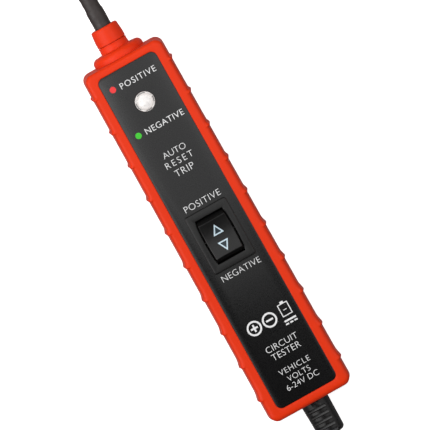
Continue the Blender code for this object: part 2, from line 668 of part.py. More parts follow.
def make_components(tan, black):
    for number, station in enumerate(RESISTOR_STATIONS, 1):
        half, neck, end = RESISTOR_LENGTH / 2, RESISTOR_RADIUS * 0.8, RESISTOR_SPAN / 2
        profile = ((0, -end), (COMPONENT_LEAD, -end), (COMPONENT_LEAD, -half), (RESISTOR_RADIUS, -half))
        profile += ((RESISTOR_RADIUS, -half / 2), (neck, -half / 4), (neck, half / 4))
        profile += ((RESISTOR_RADIUS, half / 2), (RESISTOR_RADIUS, half), (COMPONENT_LEAD, half))
        profile += ((COMPONENT_LEAD, end), (0, end))
        place = (RESISTOR_X, PROBE_END - station, BOARD_BOTTOM - GAP - COMPONENT_DROP)
        resistor = add_piece(f"resistor_{number}", turned(profile, 12, "X"), tan, place)
        leads = bmesh.new()
        for side in (-1, 1):
            x = side * (end - 1.2 * COMPONENT_LEAD)
            reach = COMPONENT_LEAD * 0.8
            block((x - reach, -reach, 0), (x + reach, reach, COMPONENT_DROP), leads)
        combine(resistor, "UNION", f"resistor_leads_{number}", leads, place)
    outline = []
    for step in range(9):
        turn = math.radians(-45 + 270 * step / 8)
        outline.append((TRANSISTOR_RADIUS * math.cos(turn), TRANSISTOR_RADIUS * math.sin(turn)))
    body_top = BOARD_BOTTOM - GAP - COMPONENT_DROP
    place = (TRANSISTOR_X, PROBE_END - TRANSISTOR_STATION, 0)
    transistor = add_piece("transistor", prism(outline, body_top - TRANSISTOR_HEIGHT, body_top), black, place)
    leads = bmesh.new()
    for number in (-1, 0, 1):
        x = number * LED_LEG_PITCH
        low = (x - LED_LEG / 2, -LED_LEG / 2, body_top - LED_LEG)
        block(low, (x + LED_LEG / 2, LED_LEG / 2, BOARD_BOTTOM - GAP), leads)
    combine(transistor, "UNION", "transistor_leads", leads, place)


def make_switch(black, brass, steel):
    flange = rounded_outline(FLANGE_WIDTH, FLANGE_LENGTH, 0.9 * MM, 2)
    top = rounded_outline(FLANGE_WIDTH - 1 * MM, FLANGE_LENGTH - 1 * MM, 0.4 * MM, 2)
    bevel = FLANGE_TOP - 0.5 * MM
    rings = [[(x, y, z) for x, y in flange] for z in (HOUSING_DEPTH, bevel)]
    rings.append([(x, y, FLANGE_TOP) for x, y in top])
    frame = add_piece("switch_frame", loft(rings), black, (0, SWITCH_Y, 0))
    half_width, half_length = SWITCH_BODY_WIDTH / 2, SWITCH_BODY_LENGTH / 2
    body = block((-half_width, -half_length, SWITCH_BOTTOM), (half_width, half_length, FLANGE_TOP - 0.6 * MM))
    combine(frame, "UNION", "switch_body", body, (0, SWITCH_Y, 0))
    opening = bowed_outline(OPENING_MIDDLE, OPENING_BOW, OPENING_LENGTH)
    opening = prism(opening, SWITCH_BOTTOM - 1 * MM, FLANGE_TOP + 1 * MM)
    combine(frame, "DIFFERENCE", "switch_opening", opening, (0, SWITCH_Y, 0))
    stub_end = OPENING_MIDDLE / 2 + PIVOT_STUB_REACH
    seat = Vector((stub_end + RUNNING, 0, 0))
    seats = rod(PIVOT_STUB_RADIUS + RUNNING, -seat, seat)
    combine(frame, "DIFFERENCE", "pivot_seats", seats, ROCKER_PIVOT)

    steps = 5
    skirt = math.asin(-ROCKER_SKIRT / ROCKER_RADIUS)
    crease = math.acos(ROCKER_CREASE / ROCKER_RADIUS)
    crease_height = ROCKER_RADIUS * math.sin(crease)
    arc = []
    for step in range(steps + 1):
        turn = skirt + (crease - skirt) * step / steps
        arc.append((ROCKER_RADIUS * math.cos(turn), ROCKER_RADIUS * math.sin(turn)))
    profile = arc + [(0, crease_height - ROCKER_VALLEY)] + [(-y, z) for y, z in reversed(arc)]
    rocker = add_piece("rocker", side_prism(profile, OPENING_MIDDLE), black, ROCKER_PIVOT)
    plan = prism(bowed_outline(ROCKER_MIDDLE, ROCKER_BOW, OPENING_LENGTH), -ROCKER_RADIUS, ROCKER_RADIUS)
    combine(rocker, "INTERSECT", "rocker_plan", plan, ROCKER_PIVOT)
    stub = Vector((stub_end, 0, 0))
    combine(rocker, "UNION", "rocker_stubs", rod(PIVOT_STUB_RADIUS, -stub, stub), ROCKER_PIVOT)
    tube_radius = PLUNGER_BORE + PLUNGER_TUBE_WALL
    tube = rod(tube_radius, (0, 0, -PLUNGER_TUBE_END), (0, 0, -ROCKER_SKIRT / 2))
    combine(rocker, "UNION", "plunger_tube", tube, ROCKER_PIVOT)
    bore_top = -PLUNGER_TOP + SPRING_ROOM
    bore = rod(PLUNGER_BORE, (0, 0, -PLUNGER_TUBE_END - 1 * MM), (0, 0, bore_top))
    combine(rocker, "DIFFERENCE", "plunger_bore", bore, ROCKER_PIVOT)

    nose = PLUNGER_RADIUS
    profile = ((0, -PLUNGER_TIP), (nose * 0.6, -PLUNGER_TIP + nose * 0.2), (nose, -PLUNGER_TIP + nose))
    profile += ((nose, -PLUNGER_TOP), (0, -PLUNGER_TOP))
    add_piece("rocker_plunger", turned(profile, 20), steel, ROCKER_PIVOT)
    make_spring(steel, ROCKER_PIVOT, -PLUNGER_TOP + GAP, bore_top - GAP)

    low = ARM_BOTTOM - ARM_PIVOT.z
    high = low + ARM_THICKNESS
    button = low - CONTACT_HEIGHT
    inner = CONTACT_OFFSET - CONTACT_SIZE / 2
    half = ((inner, low), (inner, button), (inner + CONTACT_SIZE, button), (inner + CONTACT_SIZE, low))
    right = list(half) + [(ARM_HALF_LENGTH, low), (ARM_HALF_LENGTH, high)]
    left = [(-y, z) for y, z in reversed(right)]
    add_piece("contact_arm", side_prism(left + right, ARM_WIDTH), brass, ARM_PIVOT)

    base_top = SWITCH_BOTTOM + SWITCH_BASE_THICKNESS
    half_width = (OPENING_MIDDLE - OPENING_BOW) / 2 - GAP
    half_length = OPENING_LENGTH / 2 - GAP
    plate = block((-half_width, -half_length, SWITCH_BOTTOM), (half_width, half_length, base_top))
    plate = add_piece("switch_base", plate, black, (0, SWITCH_Y, 0))
    slots = bmesh.new()
    slot = Vector((BLADE_WIDTH / 2 + GAP, BLADE_THICKNESS / 2 + GAP, 0))
    blade_bottom = SWITCH_BOTTOM - BLADE_BELOW_BODY
    pad_bottom = FIXED_CONTACT_TOP - CONTACT_HEIGHT
    for name, offset in (("positive", -CONTACT_OFFSET), ("negative", CONTACT_OFFSET)):
        half_blade, half_pad = BLADE_THICKNESS / 2, CONTACT_SIZE / 2
        outline = ((-half_blade, blade_bottom), (half_blade, blade_bottom), (half_blade, pad_bottom))
        outline += ((half_pad, pad_bottom), (half_pad, FIXED_CONTACT_TOP), (-half_pad, FIXED_CONTACT_TOP))
        outline += ((-half_pad, pad_bottom), (-half_blade, pad_bottom))
        place = (0, SWITCH_Y + offset, 0)
        add_piece(f"terminal_{name}", side_prism(outline, BLADE_WIDTH), brass, place)
    half_blade = Vector((BLADE_WIDTH / 2, BLADE_THICKNESS / 2, 0))
    ridge = ARM_BOTTOM - GAP
    common = block(
        -half_blade + Vector((0, 0, blade_bottom)),
        half_blade + Vector((0, 0, ridge)),
    )
    add_piece("terminal_common", common, brass, (0, SWITCH_Y, 0))
    for offset in (-CONTACT_OFFSET, 0, CONTACT_OFFSET):
        centre = Vector((0, offset, 0))
        low = centre - slot + Vector((0, 0, SWITCH_BOTTOM - 1 * MM))
        block(low, centre + slot + Vector((0, 0, base_top + 1 * MM)), slots)
    combine(plate, "DIFFERENCE", "blade_slots", slots, (0, SWITCH_Y, 0))


def make_spring(steel, at, low, high, per_turn=10):
    """The plunger's coil spring, between these heights above the rocker's pivot."""
    curve = bpy.data.curves.new("plunger_spring", "CURVE")
    curve.dimensions = "3D"
    curve.bevel_depth = SPRING_WIRE / 2
    curve.bevel_resolution = 1
    curve.use_fill_caps = True
    curve.materials.append(steel)
    line = curve.splines.new("POLY")
    count = SPRING_TURNS * per_turn + 1
    line.points.add(count - 1)
    radius = PLUNGER_RADIUS - SPRING_WIRE / 2
    for number, point in enumerate(line.points):
        share = number / (count - 1)
        turn = math.tau * SPRING_TURNS * share
        height = low + SPRING_WIRE / 2 + share * (high - low - SPRING_WIRE)
        point.co = (radius * math.cos(turn), radius * math.sin(turn), height, 1)
    spring = bpy.data.objects.new("plunger_spring", curve)
    bpy.context.scene.collection.objects.link(spring)
    spring.location = at


def make_breaker(dark, steel, brass, bimetal):
    half_width, half_length = BREAKER_WIDTH / 2, BREAKER_LENGTH / 2
    base = block(
        (-half_width, -half_length, BREAKER_BASE_BOTTOM), (half_width, half_length, BREAKER_BASE_TOP)
    )
    base = add_piece("breaker_base", base, dark, (0, BREAKER_Y, 0))
    slots = bmesh.new()
    tab = Vector((BREAKER_TAB_WIDTH / 2, BREAKER_TAB_THICKNESS / 2, 0))
    low_z, high_z = BREAKER_BASE_BOTTOM - BREAKER_TAB_BELOW, TAB_TOP
    for name, offset in (("in", -TAB_OFFSET), ("out", TAB_OFFSET)):
        centre = Vector((0, offset, 0))
        room = tab + Vector((GAP, GAP, 0))
        block(centre - room + Vector((0, 0, low_z)), centre + room + Vector((0, 0, high_z)), slots)
        shape = block(-tab + Vector((0, 0, low_z)), tab + Vector((0, 0, high_z)))
        add_piece(f"breaker_terminal_{name}", shape, brass, (0, BREAKER_Y + offset, 0))
    combine(base, "DIFFERENCE", "breaker_slots", slots, (0, BREAKER_Y, 0))

    outer = (BREAKER_WIDTH - 2 * COVER_INSET, BREAKER_LENGTH - 2 * COVER_INSET)
    outline = rounded_outline(*outer, 1.5 * MM, 3)
    cover = add_piece("breaker_cover", prism(outline, COVER_BOTTOM, COVER_TOP), steel, (0, BREAKER_Y, 0))
    inside = rounded_outline(outer[0] - 2 * COVER_WALL, outer[1] - 2 * COVER_WALL, 0.8 * MM, 3)
    hollow = prism(inside, COVER_BOTTOM - 1 * MM, COVER_TOP - COVER_WALL)
    combine(cover, "DIFFERENCE", "breaker_hollow", hollow, (0, BREAKER_Y, 0))

    reach = 2 * TAB_OFFSET + BIMETAL_OVERHANG
    low = (-BIMETAL_WIDTH / 2, -BIMETAL_OVERHANG, -BIMETAL_THICKNESS / 2)
    high = (BIMETAL_WIDTH / 2, reach, BIMETAL_THICKNESS / 2)
    add_piece("bimetal_blade", block(low, high), bimetal, BIMETAL_PIVOT)


def make_nozzle(red, rubber, steps=3):
    bore = SLEEVE_RADIUS + GAP
    lock_top = -SIDE_WALL - GAP
    profile = [(bore, lock_top - LOCK_THICKNESS), (NOZZLE_LOCK_RADIUS, lock_top - LOCK_THICKNESS)]
    profile += [(NOZZLE_LOCK_RADIUS, lock_top), (NOZZLE_SHANK_RADIUS, lock_top), (NOZZLE_SHANK_RADIUS, GAP)]
    profile.append((NOZZLE_FLANGE_RADIUS, GAP))
    for step in range(steps + 1):
        turn = math.radians(90 * step / steps)
        radius = NOZZLE_FLANGE_RADIUS - NOZZLE_FLANGE_EDGE * (1 - math.cos(turn))
        profile.append((radius, NOZZLE_FLANGE_TOP - NOZZLE_FLANGE_EDGE * (1 - math.sin(turn))))
    profile += [(NOZZLE_NECK_RADIUS, NOZZLE_FLANGE_TOP), (NOZZLE_NECK_RADIUS, NOZZLE_NECK_TOP)]
    profile += [(SPIGOT_RADIUS, NOZZLE_NECK_TOP), (SPIGOT_RADIUS, SPIGOT_TOP), (bore, SPIGOT_TOP)]
    end_face = (0, PROBE_END, AXIS_Z)
    add_piece("nozzle_collar", turned(profile, 28, "Y"), red, end_face)

    ring_low = SPIGOT_TOP + GAP
    ring_high = ring_low + GRIP_RING_THICKNESS
    ring = ((bore, ring_low), (SPIGOT_RADIUS, ring_low), (SPIGOT_RADIUS, ring_high), (bore, ring_high))
    add_piece("grip_ring", turned(ring, 24, "Y"), rubber, end_face)

    hollow = SPIGOT_RADIUS + GAP
    start, roof = NOZZLE_NECK_TOP + GAP, ring_high + GAP
    slant = CAP_TIP_RADIUS + (CAP_RADIUS - CAP_TIP_RADIUS) * CAP_EDGE / (CAP_TOP - start)
    profile = [(hollow, start), (CAP_RADIUS, start)]
    for step in range(steps + 1):
        turn = math.radians(90 * step / steps)
        radius = slant - CAP_EDGE * (1 - math.cos(turn))
        profile.append((radius, CAP_TOP - CAP_EDGE * (1 - math.sin(turn))))
    profile += [(bore, CAP_TOP), (bore, roof), (hollow, roof)]
    add_piece("nozzle_cap", turned(profile, 24, "Y"), red, end_face)


def make_probe(sleeve_black, steel, brass):
    end_face = (0, PROBE_END, AXIS_Z)
    bore = ROD_RADIUS + RUNNING
    lug_radius = SOCKET_RADIUS * 0.6
    profile = ((0, SOCKET_BOTTOM - SOCKET_LUG), (lug_radius, SOCKET_BOTTOM - SOCKET_LUG))
    profile += ((lug_radius, SOCKET_BOTTOM - SOCKET_LUG / 2), (SOCKET_RADIUS, SOCKET_BOTTOM - SOCKET_LUG / 2))
    profile += ((SOCKET_RADIUS, SOCKET_TOP), (bore, SOCKET_TOP), (bore, SOCKET_BOTTOM), (0, SOCKET_BOTTOM))
    add_piece("probe_socket", turned(profile, 24, "Y"), brass, end_face)

    plug_bottom = SOCKET_BOTTOM + GAP
    profile = ((0, plug_bottom), (ROD_RADIUS * 0.7, plug_bottom), (ROD_RADIUS, plug_bottom + 1 * MM))
    profile += ((ROD_RADIUS, PLUG_TOP), (0, PLUG_TOP))
    add_piece("probe_plug", turned(profile, 24, "Y"), brass, end_face)
    rod_start = PLUG_TOP + GAP
    profile = ((0, rod_start), (ROD_RADIUS, rod_start), (ROD_RADIUS, ROD_SHOULDER))
    profile += ((ROD_RADIUS * 0.45, ROD_SHOULDER + (ROD_POINT - ROD_SHOULDER) * 0.55), (0, ROD_POINT))
    add_piece("probe_rod", turned(profile, 24, "Y"), steel, end_face)

    inside = ROD_RADIUS + GAP
    profile = ((inside, SLEEVE_START), (SLEEVE_RADIUS, SLEEVE_START), (SLEEVE_RADIUS, SLEEVE_STEP))
    profile += ((SLEEVE_OUTER_RADIUS, SLEEVE_STEP + 0.5 * MM), (SLEEVE_OUTER_RADIUS, SLEEVE_END))
    profile += ((inside, SLEEVE_END),)
    add_piece("probe_sleeve", turned(profile, 24, "Y"), sleeve_black, end_face)


def make_strain_relief(rubber, steps=3):
    lock_top = -SIDE_WALL - GAP
    profile = [(BOOT_BORE_RADIUS, lock_top - LOCK_THICKNESS), (BOOT_LOCK_RADIUS, lock_top - LOCK_THICKNESS)]
    profile += [(BOOT_LOCK_RADIUS, lock_top), (BOOT_NECK_RADIUS, lock_top), (BOOT_NECK_RADIUS, GAP)]
    profile.append((BOOT_RADIUS, GAP))
    for step in range(steps + 1):
        turn = math.radians(90 * step / steps)
        radius = BOOT_END_RADIUS - BOOT_EDGE * (1 - math.cos(turn))
        profile.append((radius, BOOT_LENGTH - BOOT_EDGE * (1 - math.sin(turn))))
    profile.append((BOOT_BORE_RADIUS, BOOT_LENGTH))
    shape = turned(profile, 24, "Y")
    bmesh.ops.rotate(shape, cent=(0, 0, 0), matrix=Matrix.Rotation(math.pi, 3, "X"), verts=shape.verts)
    place = (0, CABLE_END, AXIS_Z)
    boot = add_piece("strain_relief", shape, rubber, place)
    slots = bmesh.new()
    half = BOOT_END_RADIUS - BOOT_RAIL
    for number in range(BOOT_SLOTS):
        near = -(BOOT_COLLAR + GAP + number * BOOT_SLOT_PITCH)
        far = near - BOOT_SLOT_WIDTH
        depth = BOOT_RADIUS - BOOT_SLOT_DEPTH
        block((-half, far, depth), (half, near, BOOT_RADIUS + 1 * MM), slots)
        block((-half, far, -BOOT_RADIUS - 1 * MM), (half, near, -depth), slots)
    combine(boot, "DIFFERENCE", "boot_slots", slots, place)


def make_cable_clamp(black):
    half_length = CLAMP_SCREW_X + CLAMP_BOSS_RADIUS
    outline = rounded_outline(2 * half_length, CLAMP_BAR_WIDTH, 1.5 * MM, 3)
    high = CLAMP_BAR_BOTTOM + CLAMP_BAR_THICKNESS
    bar = add_piece("cable_clamp", prism(outline, CLAMP_BAR_BOTTOM, high), black, (0, CLAMP_Y, 0))
    holes = bmesh.new()
    for x in (-CLAMP_SCREW_X, CLAMP_SCREW_X):
        start, end = (x, 0, CLAMP_BAR_BOTTOM - 1 * MM), (x, 0, high + 1 * MM)
        rod(CLAMP_SCREW_RADIUS + GAP, start, end, holes, 16)
    combine(bar, "DIFFERENCE", "clamp_holes", holes, (0, CLAMP_Y, 0))


def add_lead(name, made_of, radius, route, steps=4):
    """A round hook-up lead through these places, rounded by a Catmull-Rom curve."""
    curve = bpy.data.curves.new(name, "CURVE")
    curve.dimensions = "3D"
    curve.bevel_depth = radius
    curve.bevel_resolution = 1
    curve.use_fill_caps = True
    curve.materials.append(made_of)
    places = [Vector(place) for place in route]
    ends = [2 * places[0] - places[1]] + places + [2 * places[-1] - places[-2]]
    points = []
    for before, start, end, after in zip(ends, ends[1:], ends[2:], ends[3:]):
        for step in range(steps):
            t = step / steps
            smooth = 2 * start + (end - before) * t + (2 * before - 5 * start + 4 * end - after) * t**2
            points.append((smooth + (3 * start - before - 3 * end + after) * t**3) / 2)
    points.append(places[-1])
    line = curve.splines.new("POLY")
    line.points.add(len(points) - 1)
    for target, place in zip(line.points, points):
        target.co = (*place, 1)
    lead = bpy.data.objects.new(name, curve)
    bpy.context.scene.collection.objects.link(lead)


def make_leads(red, black, yellow):
    blade_bottom = SWITCH_BOTTOM - BLADE_BELOW_BODY
    under_blade = blade_bottom - GAP - LEAD_RADIUS
    floor = REAR_WALL + GAP + LEAD_RADIUS
    tab_bottom = BREAKER_BASE_BOTTOM - BREAKER_TAB_BELOW
    beside_tab = TAB_OFFSET + BREAKER_TAB_THICKNESS / 2 + GAP + LEAD_RADIUS
    out_y = BREAKER_Y + beside_tab
    positive_y = SWITCH_Y - CONTACT_OFFSET
    add_lead(
        "breaker_lead",
        red,
        LEAD_RADIUS,
        (
            (0, out_y, tab_bottom + LEAD_RADIUS),
            (0, out_y + 2 * MM, floor + 0.4 * MM),
            (0, (out_y + positive_y) / 2 + 1 * MM, floor + 1 * MM),
            (0, positive_y, under_blade - 0.4 * MM),
        ),
    )
    socket_end = PROBE_END + SOCKET_BOTTOM - SOCKET_LUG
    add_lead(
        "probe_lead",
        yellow,
        LEAD_RADIUS,
        (
            (0, SWITCH_Y, under_blade - 0.4 * MM),
            (1.5 * MM, SWITCH_Y + 6 * MM, floor + 0.5 * MM),
            (2.5 * MM, SWITCH_Y + 18 * MM, floor),
            (2 * MM, socket_end - 22 * MM, floor + 0.3 * MM),
            (1 * MM, socket_end - 10 * MM, floor + 3 * MM),
            (0, socket_end - 3 * MM, AXIS_Z - 1 * MM),
            (0, socket_end - GAP, AXIS_Z),
        ),
    )
    board_end = PROBE_END - BOARD_STATION - BOARD_LENGTH
    lane = HOUSING_WIDTH / 2 - SIDE_WALL - 2 * THIN_LEAD_RADIUS - GAP
    under_board = BOARD_BOTTOM - GAP
    negative_y = SWITCH_Y + CONTACT_OFFSET
    add_lead(
        "board_lead_black",
        black,
        THIN_LEAD_RADIUS,
        (
            (-BOARD_SCREW_X, board_end + 2 * MM, under_board - GAP),
            (-BOARD_SCREW_X, board_end + 1 * MM, under_board - 3 * MM),
            (-BOARD_SCREW_X + 2 * MM, board_end - 2 * MM, AXIS_Z - 5 * MM),
            (-3 * MM, negative_y + 3 * MM, blade_bottom + 1 * MM),
            (-1 * MM, negative_y + BLADE_THICKNESS / 2 + GAP + THIN_LEAD_RADIUS, blade_bottom + 1.5 * MM),
        ),
    )
    tab_y = BREAKER_Y - beside_tab
    add_lead(
        "board_lead_red",
        red,
        THIN_LEAD_RADIUS,
        (
            (BOARD_SCREW_X, board_end + 2 * MM, under_board - GAP),
            (BOARD_SCREW_X + 0.5 * MM, board_end + 1 * MM, under_board - 3 * MM),
            (lane - 1 * MM, board_end - 6 * MM, AXIS_Z - 5 * MM),
            (lane, SWITCH_Y, AXIS_Z - 7 * MM),
            (lane, BREAKER_Y, floor + 1 * MM),
            (lane - 3 * MM, tab_y - 1 * MM, floor),
            (BREAKER_TAB_WIDTH / 4, tab_y, floor + 0.6 * MM),
        ),
    )


def main():
    clear_scene()
    red = finish("case_red", (0.78, 0.07, 0.02), 0.45)
    label_black = finish("label_black", (0.02, 0.02, 0.022), 0.35)
    switch_black = finish("switch_black", (0.02, 0.02, 0.02), 0.3)
    rubber = finish("rubber_black", (0.015, 0.015, 0.015), 0.65)
    sleeve_black = finish("sleeve_black", (0.05, 0.045, 0.045), 0.6)
    clear = finish("clear_lens", (0.9, 0.92, 0.93), 0.05, alpha=0.35)
    led_clear = finish("led_epoxy", (0.85, 0.85, 0.85), 0.1, alpha=0.6)
    steel = finish("zinc_steel", (0.6, 0.6, 0.6), 0.3, 1.0)
    brass = finish("brass", (0.8, 0.6, 0.25), 0.3, 1.0)
    bimetal = finish("bimetal", (0.7, 0.55, 0.45), 0.35, 1.0)
    board_green = finish("board_green", (0.03, 0.2, 0.06), 0.4)
    resistor_tan = finish("resistor_tan", (0.7, 0.55, 0.35), 0.5)
    phenolic = finish("phenolic_brown", (0.09, 0.04, 0.02), 0.5)
    wire_red = finish("wire_red", (0.7, 0.03, 0.02), 0.4)
    wire_black = finish("wire_black", (0.02, 0.02, 0.02), 0.4)
    wire_yellow = finish("wire_yellow", (0.8, 0.6, 0.05), 0.4)

    make_front_case(red)
    make_rear_case(red)
    make_face_label(label_black)
    make_screws(steel)
    make_indicator(clear, led_clear, switch_black, board_green)
    make_components(resistor_tan, switch_black)
    make_switch(switch_black, brass, steel)
    make_breaker(phenolic, steel, brass, bimetal)
    make_nozzle(red, rubber)
    make_probe(sleeve_black, steel, brass)
    make_strain_relief(rubber)
    make_cable_clamp(switch_black)
    make_leads(wire_red, wire_black, wire_yellow)


main()
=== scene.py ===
import json
from math import atan2, cos, pi, radians, sin, sqrt, tau

import bmesh
import bpy
from mathutils import Matrix, Vector


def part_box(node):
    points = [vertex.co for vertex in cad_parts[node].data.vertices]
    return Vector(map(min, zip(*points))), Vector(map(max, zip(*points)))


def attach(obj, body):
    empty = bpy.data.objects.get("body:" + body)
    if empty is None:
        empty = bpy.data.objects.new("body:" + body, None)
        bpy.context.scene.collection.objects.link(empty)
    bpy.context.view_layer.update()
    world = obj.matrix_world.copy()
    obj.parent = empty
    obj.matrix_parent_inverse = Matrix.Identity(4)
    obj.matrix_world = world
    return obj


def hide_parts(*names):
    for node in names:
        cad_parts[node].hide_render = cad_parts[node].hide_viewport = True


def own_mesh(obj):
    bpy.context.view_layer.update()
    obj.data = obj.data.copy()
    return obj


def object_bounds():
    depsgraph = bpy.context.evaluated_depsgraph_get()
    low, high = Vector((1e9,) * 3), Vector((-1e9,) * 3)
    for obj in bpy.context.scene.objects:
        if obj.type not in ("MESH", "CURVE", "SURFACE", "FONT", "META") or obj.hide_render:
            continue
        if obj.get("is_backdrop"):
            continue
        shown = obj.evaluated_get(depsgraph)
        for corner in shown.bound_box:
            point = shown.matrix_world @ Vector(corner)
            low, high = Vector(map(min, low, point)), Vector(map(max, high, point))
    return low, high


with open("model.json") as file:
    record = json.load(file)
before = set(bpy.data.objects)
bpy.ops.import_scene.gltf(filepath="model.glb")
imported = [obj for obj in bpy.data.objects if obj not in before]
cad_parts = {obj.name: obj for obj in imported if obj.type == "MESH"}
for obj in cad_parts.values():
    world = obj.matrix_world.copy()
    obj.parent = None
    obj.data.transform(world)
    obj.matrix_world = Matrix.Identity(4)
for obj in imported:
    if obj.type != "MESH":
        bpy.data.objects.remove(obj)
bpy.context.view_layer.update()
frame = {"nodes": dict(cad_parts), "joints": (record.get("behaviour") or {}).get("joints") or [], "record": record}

mm = 0.001

# Camera: almost straight down on the front, with the probe leaning up and to the left
cameraSet = {
    "lens": 600.0,
    "sensor": 36.0,
    "farthest": 20.0,
    "span": 138.95 * mm,
    "roll": 29.2,
    "tilt": 4.0,
    "aim": (1.85, 4.02, 12.0),
}
cameraData = bpy.data.cameras.new("camera")
cameraData.lens = cameraSet["lens"]
cameraData.sensor_width = cameraSet["sensor"]
cameraData.clip_end = cameraSet["farthest"]
camera = bpy.data.objects.new("camera", cameraData)
bpy.context.scene.collection.objects.link(camera)
cameraTilt = Matrix.Rotation(radians(-cameraSet["tilt"]), 3, "X")
cameraTurn = cameraTilt @ Matrix.Rotation(radians(-cameraSet["roll"]), 3, "Z")
cameraAway = cameraSet["span"] * cameraSet["lens"] / cameraSet["sensor"]
cameraPlace = Vector(cameraSet["aim"]) * mm + cameraTurn @ Vector((0, 0, cameraAway))
camera.matrix_world = Matrix.Translation(cameraPlace) @ cameraTurn.to_4x4()
bpy.context.scene.camera = camera
print("camera placed")


# Shared effects, as node groups

def newGroup(name, inputs, outputs):
    group = bpy.data.node_groups.new(name, "ShaderNodeTree")
    for label, kind, value in inputs:
        socket = group.interface.new_socket(label, in_out="INPUT", socket_type=kind)
        if value is not None:
            socket.default_value = value
    for label, kind in outputs:
        group.interface.new_socket(label, in_out="OUTPUT", socket_type=kind)
    return group, group.nodes.new("NodeGroupInput"), group.nodes.new("NodeGroupOutput")


def addNode(tree, kind, links=(), **settings):
    # links are (input number, source) pairs, and a setting named in_N is the value of input N
    node = tree.nodes.new(kind)
    for key, value in settings.items():
        if key.startswith("in_"):
            node.inputs[int(key[3:])].default_value = value
        else:
            setattr(node, key, value)
    for index, source in links:
        tree.links.new(source, node.inputs[index])
    return node


def makeGrain():
    # a moulded or coated surface: a broad cloudiness and a fine, slightly uneven grain
    group, given, out = newGroup(
        "surfaceGrain",
        [
            ("Vector", "NodeSocketVector", None),
            ("Grain", "NodeSocketFloat", 900.0),
            ("Cloud", "NodeSocketFloat", 60.0),
        ],
        [("Cloudiness", "NodeSocketFloat"), ("Fine", "NodeSocketFloat"), ("Height", "NodeSocketFloat")],
    )
    place, grain, cloud = given.outputs[0], given.outputs[1], given.outputs[2]
    clouds = addNode(group, "ShaderNodeTexNoise", [(0, place), (2, cloud)], in_3=4.0)
    fine = addNode(group, "ShaderNodeTexNoise", [(0, place), (2, grain)], in_3=3.0)
    pits = addNode(group, "ShaderNodeTexVoronoi", [(0, place), (2, grain)])
    height = addNode(group, "ShaderNodeMath", [(0, fine.outputs[0]), (1, pits.outputs[0])], operation="ADD")
    for index, node in enumerate((clouds, fine, height)):
        group.links.new(node.outputs[0], out.inputs[index])
    return group


def makeBrushed():
    # drawn or rolled metal: fine lines along one axis
    group, given, out = newGroup(
        "brushedLines",
        [("Vector", "NodeSocketVector", None), ("Lines", "NodeSocketVector", (1, 1, 1))],
        [("Lines", "NodeSocketFloat")],
    )
    pair = [(0, given.outputs[0]), (1, given.outputs[1])]
    stretched = addNode(group, "ShaderNodeVectorMath", pair, operation="MULTIPLY")
    noise = addNode(group, "ShaderNodeTexNoise", [(0, stretched.outputs[0])], in_2=1.0, in_3=3.0)
    group.links.new(noise.outputs[0], out.inputs[0])
    return group


grainGroup = makeGrain()
brushedGroup = makeBrushed()
noiseSpan = {"in_1": 0.3, "in_2": 0.7}  # most of a noise's values lie between these
brushed = {"spread": 0.08, "bump": 0.1, "relief": 0.01}


def makeFinish(slot, group, sizes, dark, light, rough, spread, bump, relief, constants):
    # dark and light are the two ends of the surface's own colour, and sizes fill the group's inputs
    made = bpy.data.materials.new(f"{slot}_finish")
    made.use_nodes = True
    tree = made.node_tree
    shader = tree.nodes["Principled BSDF"]
    place = addNode(tree, "ShaderNodeTexCoord")
    effect = addNode(tree, "ShaderNodeGroup", node_tree=group)
    tree.links.new(place.outputs["Object"], effect.inputs[0])
    for index, size in enumerate(sizes, 1):
        effect.inputs[index].default_value = size
    outputs = list(effect.outputs)
    tint, fine, height = outputs if len(outputs) == 3 else outputs * 3
    colour = addNode(tree, "ShaderNodeMix", [(0, tint)], data_type="RGBA", in_6=(*dark, 1), in_7=(*light, 1))
    tree.links.new(colour.outputs[2], shader.inputs["Base Color"])
    ends = {"in_3": rough - spread, "in_4": rough + spread}
    gloss = addNode(tree, "ShaderNodeMapRange", [(0, fine)], **noiseSpan, **ends)
    tree.links.new(gloss.outputs[0], shader.inputs["Roughness"])
    raised = addNode(tree, "ShaderNodeBump")
    raised.inputs["Strength"].default_value = bump
    raised.inputs["Distance"].default_value = relief * mm
    tree.links.new(height, raised.inputs["Height"])
    tree.links.new(raised.outputs[0], shader.inputs["Normal"])
    for label, value in constants.items():
        shader.inputs[label].default_value = value
    return made


